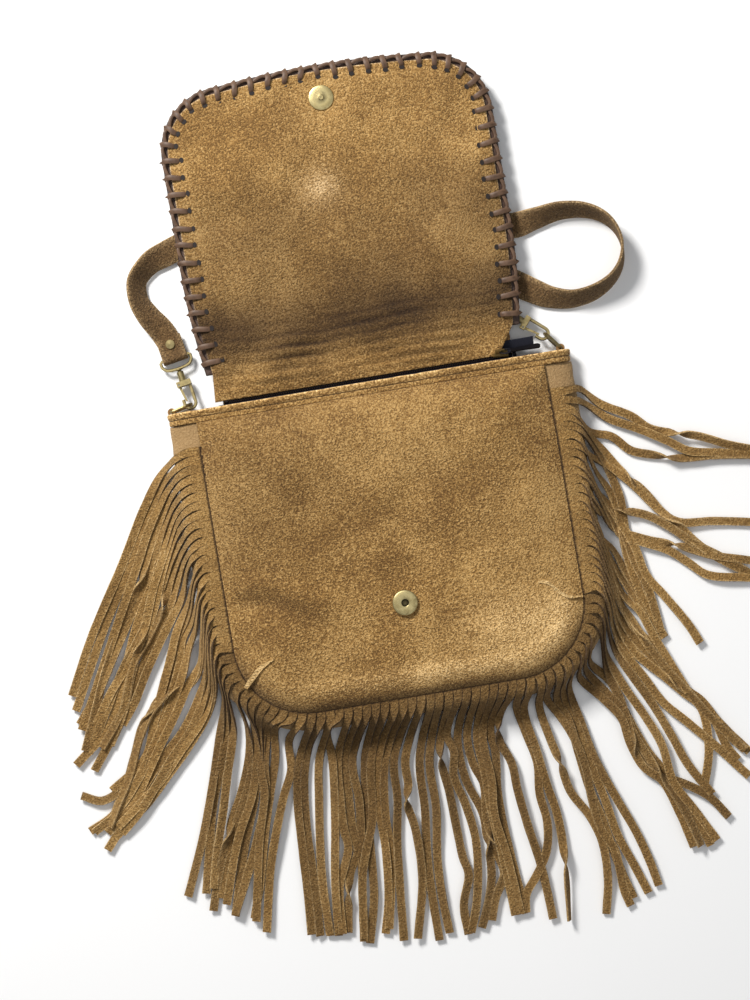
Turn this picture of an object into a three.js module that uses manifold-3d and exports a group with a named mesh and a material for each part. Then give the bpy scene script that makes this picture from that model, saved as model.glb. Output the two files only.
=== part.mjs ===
// A fringed suede shoulder bag, lying on its back with the flap laid open.
// Millimetres. X runs along the mouth, Y from the bottom towards the flap's free end, Z up.
// The origin is the centre of the back panel's flat underside.
import * as THREE from "three";
import { mergeVertices } from "three/addons/utils/BufferGeometryUtils.js";
import Module from "manifold-3d";

const wasm = await Module();
wasm.setup();

// ---------------------------------------------------------------- driving dimensions
const GAP = 0.3; // left between pieces that touch
const SUEDE = 2; // two bonded plies

const MOUTH_Y = 110;
const BOTTOM_Y = -111;
const HALF_WIDTH = 124;
const CORNER_R = 52;

const SEAM_Z = 24; // top of the front seam along the sides and bottom
const MOUTH_Z = 17.5; // top of the front panel at the mouth
const CROWN_Z = 33.5; // top of the front panel's middle
const BAND_DEPTH = 6.7; // facing band round the mouth
const BULGE = 19; // how far the gusset stands out past the seams
const BOTTOM_BULGE = 13; // along the bottom
const LIP = 4; // gusset seam allowance

const HINGE_Y = 135;
const FLAP_Z = 10; // underside of the open flap
const FLAP_LAYER = 1.2;
const FLAP_GAP = 0.8; // room for the stud's washer between the layers
const FLAP_END_Y = 339;
const FLAP_ROOT_HALF = 112;
const FLAP_HALF = 118;
const FLAP_CORNER_R = 45;

const SNAP_Y = -45; // socket on the front panel
const STUD_Y = 315; // stud on the flap, 2 * HINGE_Y - SNAP_Y
const SNAP_R = 9;
const SOCKET_TOP_Z = 35.8;
const STUD_DISC = 1.7;

const STRAND_PITCH = 6.4;
const STRAND_GAP = 0.7;
const STRAND_LENGTH = 180;
const STRAND_THICK = 1.4;
const HEADING = 10; // uncut depth of the fringe strips

const LACE_WIDTH = 3;
const LACE_THICK = 0.9;
const LACE_PITCH = 12;
const LACE_REACH = 13; // from the flap's edge to the holes

const ZIP_FROM_X = -99;
const ZIP_TO_X = 103;
const SLIDER_X = 95;

const STRAP_WIDTH = 18;
const STRAP_THICK = 2;
const RING_Z = 8; // height of the D-rings and the hooks' ends
const RING_REACH = 15;
const RING_HALF = 6;
const WIRE_R = 1.2;
const EYE_BAR_Z = 4.6;

// ---------------------------------------------------------------- finishes
const finish = (color, roughness, metalness = 0) =>
  new THREE.MeshStandardMaterial({ color, roughness, metalness, side: THREE.DoubleSide });
const SUEDE_TAN = finish(0xa97f4e, 0.95);
const SUEDE_DARK = finish(0x8f6a3c, 0.95);
const LEATHER = finish(0x3d2a20, 0.6);
const LACE = finish(0x5f463c, 0.5);
const STRAP_SUEDE = finish(0x6e5532, 0.95);
const TAPE = finish(0x23222c, 0.9);
const TEETH = finish(0x2b2a30, 0.45, 0.6);
const BRASS = finish(0xb5a672, 0.35, 1);
const STEEL = finish(0x9a9a96, 0.35, 1);

// ---------------------------------------------------------------- shape helpers
const bag = new THREE.Group();

function add(name, geometry, material, parent = bag) {
  const mesh = new THREE.Mesh(geometry, material);
  mesh.name = name;
  parent.add(mesh);
  return mesh;
}

function plain(geometry) {
  const bare = geometry.clone();
  bare.deleteAttribute("normal");
  bare.deleteAttribute("uv");
  return mergeVertices(bare, 1e-3);
}

function solid(geometry) {
  const merged = plain(geometry);
  return new wasm.Manifold(
    new wasm.Mesh({
      numProp: 3,
      vertProperties: merged.attributes.position.array,
      triVerts: new Uint32Array(merged.index.array),
    }),
  );
}

function geometryOf(manifold) {
  const mesh = manifold.getMesh();
  const geometry = new THREE.BufferGeometry();
  geometry.setAttribute("position", new THREE.BufferAttribute(mesh.vertProperties, 3));
  geometry.setIndex(new THREE.BufferAttribute(mesh.triVerts, 1));
  return geometry;
}

function joined(...geometries) {
  return geometryOf(geometries.map(solid).reduce((sum, next) => sum.add(next)));
}

function cut(geometry, ...tools) {
  return geometryOf(tools.map(solid).reduce((rest, tool) => rest.subtract(tool), solid(geometry)));
}

// Turns lists of corner points and faces into a geometry, with its faces pointing out.
function surface(points, faces) {
  let volume = 0;
  for (const [a, b, c] of faces) {
    volume += points[a].dot(points[b].clone().cross(points[c]));
  }
  const outward = volume > 0 ? faces : faces.map(([a, b, c]) => [a, c, b]);
  const geometry = new THREE.BufferGeometry().setFromPoints(points);
  geometry.setIndex(outward.flat());
  return geometry;
}

// Skins a row of rings, each a list of the same number of points, into one closed body.
function skin(rings, closed = false) {
  const around = rings[0].length;
  const faces = [];
  const last = closed ? rings.length : rings.length - 1;
  for (let i = 0; i < last; i++) {
    const here = i * around;
    const next = ((i + 1) % rings.length) * around;
    for (let j = 0; j < around; j++) {
      const k = (j + 1) % around;
      faces.push([here + j, here + k, next + k], [here + j, next + k, next + j]);
    }
  }
  if (!closed) {
    const end = last * around;
    for (const [a, b, c] of capFaces(rings[0])) faces.push([a, c, b]);
    for (const [a, b, c] of capFaces(rings[last])) faces.push([end + a, end + b, end + c]);
  }
  return surface(rings.flat(), faces);
}

// The triangles that close a flat ring of any outline, turning the way the ring does.
function capFaces(ring) {
  const normal = new THREE.Vector3();
  ring.forEach((point, i) => {
    const from = point.clone().sub(ring[0]);
    normal.add(from.cross(ring[(i + 1) % ring.length].clone().sub(ring[0])));
  });
  const across = ring[1].clone().sub(ring[0]).normalize();
  const up = normal.normalize().cross(across).normalize();
  const flat = ring.map((point) => new THREE.Vector2(point.dot(across), point.dot(up)));
  return THREE.ShapeUtils.triangulateShape(flat, []);
}

// A plate on a lattice of cells, some of them left out: top and bottom give each corner's point.
function latticePlate(columns, rows, keep, top, bottom) {
  const points = [];
  const number = (i, j) => 2 * (i * (rows + 1) + j);
  for (let i = 0; i <= columns; i++) {
    for (let j = 0; j <= rows; j++) points.push(top(i, j), bottom(i, j));
  }
  const faces = [];
  const quad = (a, b, c, d) => faces.push([a, b, c], [a, c, d]);
  const kept = (i, j) => i >= 0 && j >= 0 && i < columns && j < rows && keep(i, j);
  for (let i = 0; i < columns; i++) {
    for (let j = 0; j < rows; j++) {
      if (!kept(i, j)) continue;
      const [a, b, c, d] = [number(i, j), number(i + 1, j), number(i + 1, j + 1), number(i, j + 1)];
      quad(a, b, c, d);
      quad(a + 1, d + 1, c + 1, b + 1);
      if (!kept(i, j - 1)) quad(a, a + 1, b + 1, b);
      if (!kept(i + 1, j)) quad(b, b + 1, c + 1, c);
      if (!kept(i, j + 1)) quad(c, c + 1, d + 1, d);
      if (!kept(i - 1, j)) quad(d, d + 1, a + 1, a);
    }
  }
  return surface(points, faces);
}

// A round wire along a row of points.
function wire(points, radius, closed = false, sides = 6) {
  const count = points.length;
  const at = (i) => points[closed ? (i + count) % count : Math.min(Math.max(i, 0), count - 1)];
  const flat = new THREE.Vector3();
  for (let i = 0; i < count; i++) {
    flat.add(at(i).clone().sub(points[0]).cross(at(i + 1).clone().sub(points[0])));
  }
  const upright = flat.length() > 1e-6 ? flat.normalize() : new THREE.Vector3(0, 0, 1);
  const rings = points.map((point, i) => {
    const along = at(i + 1).clone().sub(at(i - 1)).normalize();
    const side = along.clone().cross(upright).normalize();
    return Array.from({ length: sides }, (_, j) => {
      const turn = (2 * Math.PI * j) / sides;
      return point
        .clone()
        .addScaledVector(side, radius * Math.cos(turn))
        .addScaledVector(upright, radius * Math.sin(turn));
    });
  });
  return skin(rings, closed);
}

// A flat plate of a shape, between two heights.
function plate(shape, from, to, curveSegments = 8) {
  const geometry = new THREE.ExtrudeGeometry(shape, {
    depth: to - from,
    bevelEnabled: false,
    curveSegments,
  });
  return geometry.translate(0, 0, from);
}

// A section drawn in Y and Z, or X and Z, pushed along the third axis.
function alongX(shape, from, to) {
  const geometry = new THREE.ExtrudeGeometry(shape, { depth: to - from, bevelEnabled: false });
  return geometry
    .applyMatrix4(new THREE.Matrix4().makeBasis(...axes([0, 1, 0], [0, 0, 1], [1, 0, 0])))
    .translate(from, 0, 0);
}

function alongY(shape, from, to) {
  const geometry = new THREE.ExtrudeGeometry(shape, { depth: to - from, bevelEnabled: false });
  return geometry
    .applyMatrix4(new THREE.Matrix4().makeBasis(...axes([-1, 0, 0], [0, 0, 1], [0, 1, 0])))
    .translate(0, from, 0);
}

function axes(...rows) {
  return rows.map((row) => new THREE.Vector3(...row));
}

// The outline of a strip of even thickness along an open line of [x, y] points.
function stripShape(line, thickness) {
  const points = line.map(([x, y]) => new THREE.Vector2(x, y));
  const sides = points.map((point, i) => {
    const before = points[Math.max(i - 1, 0)];
    const after = points[Math.min(i + 1, points.length - 1)];
    const along = after.clone().sub(before).normalize();
    return new THREE.Vector2(-along.y, along.x).multiplyScalar(thickness / 2);
  });
  const left = points.map((point, i) => point.clone().add(sides[i]));
  const right = points.map((point, i) => point.clone().sub(sides[i]));
  return new THREE.Shape([...left, ...right.reverse()]);
}

function box(from, to) {
  const size = to.map((high, i) => high - from[i]);
  const middle = to.map((high, i) => (high + from[i]) / 2);
  return new THREE.BoxGeometry(...size).translate(...middle);
}

// A round rod standing on Z.
function rod(x, y, from, to, radius, sides = 16) {
  return new THREE.CylinderGeometry(radius, radius, to - from, sides)
    .rotateX(Math.PI / 2)
    .translate(x, y, (from + to) / 2);
}

// A turned piece about the Z axis, its profile a list of [radius, height].
function turned(profile, sides = 16) {
  return new THREE.LatheGeometry(
    profile.map(([r, z]) => new THREE.Vector2(r, z)),
    sides,
  ).rotateX(Math.PI / 2);
}

const mix = (a, b, t) => a + (b - a) * t;
const smooth = (from, to, value) => THREE.MathUtils.smoothstep(value, from, to);
const radians = THREE.MathUtils.degToRad;

// ---------------------------------------------------------------- the U-shaped seam
// Straight sides, round corners and a straight bottom, measured from the mouth's left end.
const SIDE = MOUTH_Y - BOTTOM_Y - CORNER_R;
const ARC = (Math.PI / 2) * CORNER_R;
const FLOOR_RUN = 2 * (HALF_WIDTH - CORNER_R);
const SEAM_LENGTH = 2 * SIDE + 2 * ARC + FLOOR_RUN;

// The point at a distance along the seam, moved outwards by offset, and the outward angle there.
function seam(distance, offset = 0) {
  const half = SEAM_LENGTH / 2;
  const right = distance > half;
  const run = right ? SEAM_LENGTH - distance : distance;
  let x, y, angle;
  if (run <= SIDE) {
    [x, y, angle] = [-HALF_WIDTH, MOUTH_Y - run, Math.PI];
  } else if (run <= SIDE + ARC) {
    angle = Math.PI + (run - SIDE) / CORNER_R;
    x = -HALF_WIDTH + CORNER_R + CORNER_R * Math.cos(angle);
    y = BOTTOM_Y + CORNER_R + CORNER_R * Math.sin(angle);
  } else {
    [x, y, angle] = [-HALF_WIDTH + CORNER_R + run - SIDE - ARC, BOTTOM_Y, 1.5 * Math.PI];
  }
  x += offset * Math.cos(angle);
  y += offset * Math.sin(angle);
  return right ? { x: -x, y, angle: 3 * Math.PI - angle } : { x, y, angle };
}

// Distances along the seam at which the body's pieces have their corner points.
const seamStops = (from, to) => {
  const stops = [];
  const stretches = [SIDE, ARC, FLOOR_RUN, ARC, SIDE];
  const steps = [4, 6, 3, 6, 4];
  let start = 0;
  stretches.forEach((length, i) => {
    for (let step = 0; step < steps[i]; step++) stops.push(start + (length * step) / steps[i]);
    start += length;
  });
  return [from, ...stops.filter((stop) => stop > from + 3 && stop < to - 3), to];
};

const seamHeight = (y) => mix(SEAM_Z, MOUTH_Z, smooth(55, MOUTH_Y, y));
const BAND_Y = MOUTH_Y - BAND_DEPTH; // where the band starts
const PANEL_TOP_Y = BAND_Y - GAP;
const FROM_TOP = MOUTH_Y - PANEL_TOP_Y;

// ---------------------------------------------------------------- body panels
function backPanel() {
  const outline = seamStops(0, SEAM_LENGTH).map((stop) => {
    const { x, y } = seam(stop);
    return new THREE.Vector2(x, y);
  });
  const neck = new THREE.Shape(
    [
      [MOUTH_Y - 6, 0],
      [MOUTH_Y + 4, 0],
      [HINGE_Y - GAP, FLAP_Z],
      [HINGE_Y - GAP, FLAP_Z + SUEDE],
      [MOUTH_Y + 2, SUEDE],
      [MOUTH_Y - 6, SUEDE],
    ].map(([y, z]) => new THREE.Vector2(y, z)),
  );
  const neckHalf = FLAP_ROOT_HALF - 8;
  return joined(plate(new THREE.Shape(outline), 0, SUEDE), alongX(neck, -neckHalf, neckHalf));
}

// A dome on rings that shrink towards the middle, with the same dome below as its inside.
function frontPanel() {
  const stops = seamStops(FROM_TOP, SEAM_LENGTH - FROM_TOP);
  const edge = stops.map((stop) => seam(stop));
  const mouthSteps = 8;
  for (let i = 1; i < mouthSteps; i++) {
    edge.push({ x: mix(HALF_WIDTH, -HALF_WIDTH, i / mouthSteps), y: PANEL_TOP_Y });
  }
  const ring = (scale, drop) =>
    edge.map(({ x, y }) => {
      const rise = 1 - scale ** 4;
      const z = mix(seamHeight(y), CROWN_Z, rise) - drop;
      return new THREE.Vector3(x * scale, y * scale, z);
    });
  const scales = [0.06, 0.3, 0.5, 0.7, 0.85, 0.95, 1];
  const inside = scales.map((scale) => ring(scale, SUEDE));
  const outside = scales.map((scale) => ring(scale, 0)).reverse();
  const shell = skin([...inside, ...outside]);
  return cut(shell, rod(0, SNAP_Y, 25, 40, 2.4 + 2 * GAP, 12));
}

// The gusset's section at height top: flat lips at the seams and a rounded wall between them.
function gussetLine(top, bulge) {
  const low = SUEDE + GAP + SUEDE / 2;
  const high = top - SUEDE - GAP - SUEDE / 2;
  const steps = 6;
  const wall = Array.from({ length: steps + 1 }, (_, i) => {
    const turn = (Math.PI * i) / steps;
    return [bulge * Math.sin(turn), mix(low, high, (1 - Math.cos(turn)) / 2)];
  });
  return [[-LIP, low], ...wall, [-LIP, high]];
}

function gusset() {
  const rings = seamStops(FROM_TOP, SEAM_LENGTH - FROM_TOP).map((stop) => {
    const height = seamHeight(seam(stop).y);
    const bulge = mix(BULGE, BOTTOM_BULGE, smooth(60, -BOTTOM_Y, -seam(stop).y));
    return stripShape(gussetLine(height, bulge), SUEDE).getPoints().map((point) => {
      const { x, y } = seam(stop, point.x);
      return new THREE.Vector3(x, y, point.y);
    });
  });
  return skin(rings);
}

// One strip round the front of the mouth and both gusset ends.
function mouthBand() {
  const side = gussetLine(MOUTH_Z, BULGE).slice(0, -1);
  const front = MOUTH_Z - SUEDE / 2;
  const left = side.map(([offset, z]) => [-HALF_WIDTH - offset, mix(z, front, smooth(8, 15, z))]);
  const right = left.map(([x, z]) => [-x, z]).reverse();
  return alongY(stripShape([...left, ...right].map(([x, z]) => [-x, z]), SUEDE), BAND_Y, MOUTH_Y);
}

add("back_panel", backPanel(), SUEDE_DARK);
add("front_panel", frontPanel(), SUEDE_TAN);
add("gusset", gusset(), SUEDE_DARK);
add("mouth_band", mouthBand(), SUEDE_TAN);

// ---------------------------------------------------------------- fringe
// Height of a strand over its run: it rolls over the gusset and drops to the floor.
const DROP = [
  [0, 23.4],
  [HEADING, 22.2],
  [19, 17.5],
  [25, 5],
  [34, 1.3],
];
const STRAND_STOPS = [0, HEADING, 19, 25, 34, 70, STRAND_LENGTH];

function strandHeight(run) {
  for (let i = 1; i < DROP.length; i++) {
    const [[from, high], [to, low]] = [DROP[i - 1], DROP[i]];
    if (run <= to) return mix(high, low, (run - from) / (to - from));
  }
  return DROP[DROP.length - 1][1];
}

// How far a strand's far end turns towards the bag's bottom from the way it sets out, in degrees.
function strandTurn(distance) {
  const { x, y, angle } = seam(distance);
  const corner = Math.abs(((angle * 180) / Math.PI - 270) / 90); // 1 on the sides, 0 on the bottom
  if (x < 0) return 58 * corner;
  return -(y > -60 ? mix(58, 18, smooth(-60, 90, y)) : 58) * corner;
}

// The strand's centre points and its widths, at STRAND_STOPS.
function strandLine(distance) {
  const { angle } = seam(distance);
  const turn = radians(strandTurn(distance));
  const place = seam(distance);
  const line = [];
  for (let run = 0; run <= STRAND_LENGTH; run += 1) {
    if (STRAND_STOPS.includes(run)) {
      const heading = angle + turn * smooth(27, 92, run);
      // leaning strands lie closer together, from a little before the lean begins
      const room = STRAND_PITCH * Math.cos(turn * smooth(27, 92, run + 25)) * 0.86;
      line.push({
        x: place.x,
        y: place.y,
        z: strandHeight(run),
        heading,
        width: Math.min(STRAND_PITCH - STRAND_GAP, room),
      });
    }
    const heading = angle + turn * smooth(27, 92, run + 0.5);
    place.x += Math.cos(heading);
    place.y += Math.sin(heading);
  }
  return line;
}

function fringe(from, to) {
  const count = Math.round((to - from) / STRAND_PITCH);
  const pitch = (to - from) / count;
  const strands = Array.from({ length: count }, (_, i) => {
    const distance = from + pitch * (i + 0.5);
    return { distance, line: strandLine(distance) };
  });
  // A corner of the lattice: each strand has a left and a right edge.
  const place = (i, j, level) => {
    const strand = strands[Math.floor(i / 2)];
    const side = i % 2 ? 1 : -1;
    const here = strand.line[j];
    const before = strand.line[Math.max(j - 1, 0)];
    const after = strand.line[Math.min(j + 1, strand.line.length - 1)];
    const run = Math.hypot(after.x - before.x, after.y - before.y);
    const slope = Math.atan2(after.z - before.z, run);
    const shift = (level * STRAND_THICK) / 2;
    const out = -Math.sin(slope) * shift;
    let { x, y } = here;
    if (j <= 1) {
      ({ x, y } = seam(strand.distance + (side * (pitch - STRAND_GAP)) / 2, STRAND_STOPS[j] + 2 * GAP));
    } else {
      const half = (side * here.width) / 2;
      x += -Math.sin(here.heading) * half + 2 * GAP * Math.cos(here.heading);
      y += Math.cos(here.heading) * half + 2 * GAP * Math.sin(here.heading);
    }
    x += out * Math.cos(here.heading);
    y += out * Math.sin(here.heading);
    return new THREE.Vector3(x, y, Math.max(here.z + shift * Math.cos(slope), GAP));
  };
  const keep = (i, j) => i % 2 === 0 || j === 0;
  const corner = (level) => (i, j) => place(i, j, level);
  return latticePlate(2 * count - 1, STRAND_STOPS.length - 1, keep, corner(1), corner(-1));
}

const FRINGE_TOP = MOUTH_Y - 86;
const FRINGE_SPLIT = SIDE + 1;
add("fringe_left", fringe(FRINGE_TOP, FRINGE_SPLIT), SUEDE_TAN);
add("fringe_bottom", fringe(FRINGE_SPLIT + 1, SEAM_LENGTH - FRINGE_SPLIT - 1), SUEDE_TAN);
add("fringe_right", fringe(SEAM_LENGTH - FRINGE_SPLIT, SEAM_LENGTH - FRINGE_TOP), SUEDE_TAN);

// ---------------------------------------------------------------- zip
// The zip leans from the front's inside down to the neck. Its own frame: along X, across ACROSS, out OUT.
const ZIP_LEAN = radians(-51.7);
const ZIP_CENTRE = new THREE.Vector3(0, 114.6, 10.6);
const ROW_HALF_GAP = 0.6;
const ROW_WIDTH = 2.2;
const ROW_THICK = 2.6;
const TAPE_THICK = 0.8;

const zip = new THREE.Group();
zip.position.copy(ZIP_CENTRE);
zip.rotation.x = ZIP_LEAN; // turns the group's Y into ACROSS and its Z into OUT
bag.add(zip);

// A row of teeth standing out of a cord towards the middle.
function teethRow() {
  const pitch = 8;
  const cord = ROW_HALF_GAP + ROW_WIDTH;
  const points = [[ZIP_FROM_X, cord]];
  for (let x = ZIP_FROM_X; x + pitch <= ZIP_TO_X; x += pitch) {
    points.push([x + 1, ROW_HALF_GAP + 1.1], [x + 1, ROW_HALF_GAP]);
    points.push([x + 4, ROW_HALF_GAP], [x + 4, ROW_HALF_GAP + 1.1]);
  }
  points.push([ZIP_TO_X, cord]);
  return plate(
    new THREE.Shape(points.map(([x, y]) => new THREE.Vector2(x, -y))),
    -ROW_THICK / 2,
    ROW_THICK / 2,
  );
}

function tape(line) {
  return alongX(stripShape(line, TAPE_THICK), ZIP_FROM_X - 8, ZIP_TO_X + 17);
}

function slider() {
  const outline = new THREE.Shape();
  outline.moveTo(-5.5, -2.6).lineTo(5.5, -4.2).lineTo(5.5, 4.2).lineTo(-5.5, 2.6).closePath();
  const inner = ROW_THICK / 2 + GAP;
  const bail = new THREE.Shape();
  bail.moveTo(-3.4, 0).lineTo(-3.4, 3).lineTo(3.4, 3).lineTo(3.4, 0);
  bail.lineTo(2.6, 0).lineTo(2.6, 2.2).lineTo(-2.6, 2.2).lineTo(-2.6, 0).closePath();
  return joined(
    plate(outline, inner, inner + 1.2),
    plate(outline, -inner - 1.2, -inner),
    box([2.6, -ROW_HALF_GAP / 2, -inner - 0.2], [5, ROW_HALF_GAP / 2, inner + 0.2]),
    new THREE.ExtrudeGeometry(bail, { depth: 1.6, bevelEnabled: false })
      .rotateX(Math.PI / 2)
      .translate(0, 0.8, inner + 1),
  );
}

// A ring through the bail and a long tapering tab.
function puller() {
  const tab = new THREE.Shape();
  tab.moveTo(7, -1.6).lineTo(26, -2.4).absarc(26, 0, 2.4, -Math.PI / 2, Math.PI / 2, false);
  tab.lineTo(7, 1.6).closePath();
  const ring = Array.from({ length: 16 }, (_, i) => {
    const turn = (2 * Math.PI * i) / 16;
    return new THREE.Vector3(3.6 + 4.2 * Math.cos(turn), 2.6 * Math.sin(turn), 0);
  });
  return joined(plate(tab, -0.6, 0.6, 4), wire(ring, 0.55, true, 6));
}

add("zip_teeth_front", teethRow(), TEETH, zip);
add("zip_teeth_back", teethRow().rotateX(Math.PI), TEETH, zip);
for (const [name, x] of [["left", ZIP_FROM_X - 3.2], ["right", ZIP_TO_X + 0.8]]) {
  add(`zip_stop_${name}`, box([x, -2.6, -1.5], [x + 2.4, 2.6, 1.5]), TEETH, zip);
}
const sliderGroup = new THREE.Group();
sliderGroup.position.x = SLIDER_X;
zip.add(sliderGroup);
add("zip_slider", slider(), BRASS, sliderGroup);
const BAIL_OUT = ROW_THICK / 2 + GAP + 1 + 1.2;
add("zip_puller", puller().translate(0.9 - 0.3, 0, BAIL_OUT), BRASS, sliderGroup);

const acrossEnd = ROW_HALF_GAP + ROW_WIDTH + GAP + 0.1;
const edgeOf = (sign) => [
  ZIP_CENTRE.y + sign * acrossEnd * Math.cos(ZIP_LEAN),
  ZIP_CENTRE.z + sign * acrossEnd * Math.sin(ZIP_LEAN),
];
add("zip_tape_front", tape([[104.5, 14], [109.3, 14], edgeOf(-1)]), TAPE);
const neckTop = (y) => mix(SUEDE, FLAP_Z + SUEDE, (y - MOUTH_Y - 2) / (HINGE_Y - GAP - MOUTH_Y - 2));
add("zip_tape_back", tape([edgeOf(1), [119, neckTop(119) + 1], [125, neckTop(125) + 1]]), TAPE);

// ---------------------------------------------------------------- snap
const FLAP_TOP_Z = FLAP_Z + 2 * FLAP_LAYER + FLAP_GAP;
const STUD_TOP_Z = FLAP_TOP_Z + GAP + STUD_DISC;

function socket() {
  const under = CROWN_Z + GAP;
  return turned([
    [0, 29.2],
    [2.4, 29.2],
    [2.4, under],
    [SNAP_R, under],
    [SNAP_R, SOCKET_TOP_Z - 0.5],
    [SNAP_R - 0.6, SOCKET_TOP_Z],
    [2.3, SOCKET_TOP_Z],
    [2.3, under + 0.3],
    [0, under + 0.3],
  ]).translate(0, SNAP_Y, 0);
}

function stud() {
  return turned([
    [0, FLAP_Z + FLAP_LAYER + GAP / 2],
    [1.8, FLAP_Z + FLAP_LAYER + GAP / 2],
    [1.8, FLAP_TOP_Z + GAP],
    [SNAP_R, FLAP_TOP_Z + GAP],
    [SNAP_R, STUD_TOP_Z - 0.5],
    [SNAP_R - 0.6, STUD_TOP_Z],
    [1.9, STUD_TOP_Z],
    [1.7, STUD_TOP_Z + 1.3],
    [0, STUD_TOP_Z + 1.3],
  ]).translate(0, STUD_Y, 0);
}

function washer(inner, outer, from, to) {
  return turned([[inner, from], [outer, from], [outer, to], [inner, to], [inner, from]], 14);
}

add("snap_socket", socket(), BRASS);
add("snap_socket_washer", washer(2.8, 8, 29.6, 30.6).translate(0, SNAP_Y, 0), STEEL);
add("snap_stud", stud(), BRASS);
const WASHER_Z = FLAP_Z + FLAP_LAYER + 0.15;
add("snap_stud_washer", washer(2.1, 8, WASHER_Z, WASHER_Z + 0.5).translate(0, STUD_Y, 0), STEEL);

// ---------------------------------------------------------------- flap
// Half of the flap's outline, from its root round the right corner to the middle of its free end.
const flapOutline = (() => {
  const corner = new THREE.Vector2(FLAP_HALF - FLAP_CORNER_R, FLAP_END_Y - 4 - FLAP_CORNER_R);
  const right = new THREE.Path();
  right.moveTo(FLAP_ROOT_HALF, HINGE_Y);
  right.quadraticCurveTo(FLAP_HALF, HINGE_Y + 40, FLAP_HALF, HINGE_Y + 75);
  right.lineTo(FLAP_HALF, corner.y);
  right.absarc(corner.x, corner.y, FLAP_CORNER_R, 0, Math.PI / 2, false);
  right.quadraticCurveTo(corner.x / 2, FLAP_END_Y, 0, FLAP_END_Y);
  const points = right.getPoints(7);
  const mirrored = points.slice(0, -1).reverse().map((p) => new THREE.Vector2(-p.x, p.y));
  const line = new THREE.CurvePath();
  const all = [...points, ...mirrored].filter((p, i, list) => !i || p.distanceTo(list[i - 1]) > 0.01);
  for (let i = 1; i < all.length; i++) line.add(new THREE.LineCurve(all[i - 1], all[i]));
  return { all, line, length: line.getLength() };
})();

// The point on the flap's outline at a distance from the root's right corner, moved inwards.
function flapEdge(distance, inwards) {
  const t = distance / flapOutline.length;
  const at = flapOutline.line.getPointAt(t);
  const before = flapOutline.line.getPointAt(Math.max(t - 0.008, 0));
  const after = flapOutline.line.getPointAt(Math.min(t + 0.008, 1));
  const along = after.sub(before).normalize();
  const inward = new THREE.Vector2(-along.y, along.x);
  return { at: at.addScaledVector(inward, inwards), along, inward };
}

const LACE_START = 7;
const LACE_COUNT = Math.floor((flapOutline.length - 2 * LACE_START) / LACE_PITCH);
const LACE_STEP = (flapOutline.length - 2 * LACE_START) / LACE_COUNT;

function flapLayer(inset, from, to, studHole) {
  const edge = flapOutline.all.map((point, i) => {
    const before = flapOutline.all[Math.max(i - 1, 0)];
    const after = flapOutline.all[Math.min(i + 1, flapOutline.all.length - 1)];
    const along = after.clone().sub(before).normalize();
    return point.clone().addScaledVector(new THREE.Vector2(-along.y, along.x), inset);
  });
  edge[0].y = HINGE_Y;
  edge[edge.length - 1].y = HINGE_Y;
  const shape = new THREE.Shape(edge);
  for (let i = 0; i <= LACE_COUNT; i++) {
    const { at, along, inward } = flapEdge(LACE_START + i * LACE_STEP, LACE_REACH);
    const corner = (a, b) => at.clone().addScaledVector(along, a).addScaledVector(inward, b);
    const skew = 0.1 + 0.04 * (i % 3); // the slots are cut by hand, so none lines up with the next
    const slot = [corner(-1.9, -1 - skew), corner(-2, 1), corner(1.9, 1 + skew), corner(2, -1)];
    shape.holes.push(new THREE.Path(slot));
  }
  if (studHole) {
    shape.holes.push(new THREE.Path().absarc(0, STUD_Y, 2.3, 0, 2 * Math.PI, true));
  }
  return plate(shape, from, to, 6);
}

// One flat lace, up through each hole, over the inner side, round the edge and back below.
function lacing() {
  const over = FLAP_TOP_Z + GAP + LACE_THICK / 2;
  const under = FLAP_Z - 1.5 * GAP - LACE_THICK / 2;
  const wrap = -(3 * GAP + LACE_THICK / 2);
  const path = [];
  const put = (distance, inwards, z) => {
    const { at, along } = flapEdge(Math.min(distance, flapOutline.length - 1), inwards);
    path.push({
      place: new THREE.Vector3(at.x, at.y, z),
      across: new THREE.Vector3(along.x, along.y, 0),
    });
  };
  for (let i = 0; i <= LACE_COUNT; i++) {
    const start = LACE_START + i * LACE_STEP;
    put(start, LACE_REACH, under);
    put(start, LACE_REACH, over);
    if (i === LACE_COUNT) break;
    put(start + 1.5, 0.8, over);
    put(start + 2.5, wrap, over - 1);
    put(start + 4, wrap, under + 0.7);
    put(start + 5.5, 0.8, under);
  }
  const rings = path.map(({ place, across }, i) => {
    const before = path[Math.max(i - 1, 0)].place;
    const after = path[Math.min(i + 1, path.length - 1)].place;
    const toHere = place.clone().sub(before).normalize();
    const toNext = after.clone().sub(place).normalize();
    const travel = toHere.add(toNext).normalize();
    const thick = travel.cross(across).normalize().multiplyScalar(LACE_THICK / 2);
    const wide = across.clone().multiplyScalar(LACE_WIDTH / 2);
    return [
      place.clone().add(wide).add(thick),
      place.clone().sub(wide).add(thick),
      place.clone().sub(wide).sub(thick),
      place.clone().add(wide).sub(thick),
    ];
  });
  return skin(rings);
}

add("flap_outer", flapLayer(0, FLAP_Z, FLAP_Z + FLAP_LAYER, false), LEATHER);
add("flap_inner", flapLayer(1, FLAP_TOP_Z - FLAP_LAYER, FLAP_TOP_Z, true), SUEDE_TAN);
add("flap_lacing", lacing(), LACE);

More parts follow.
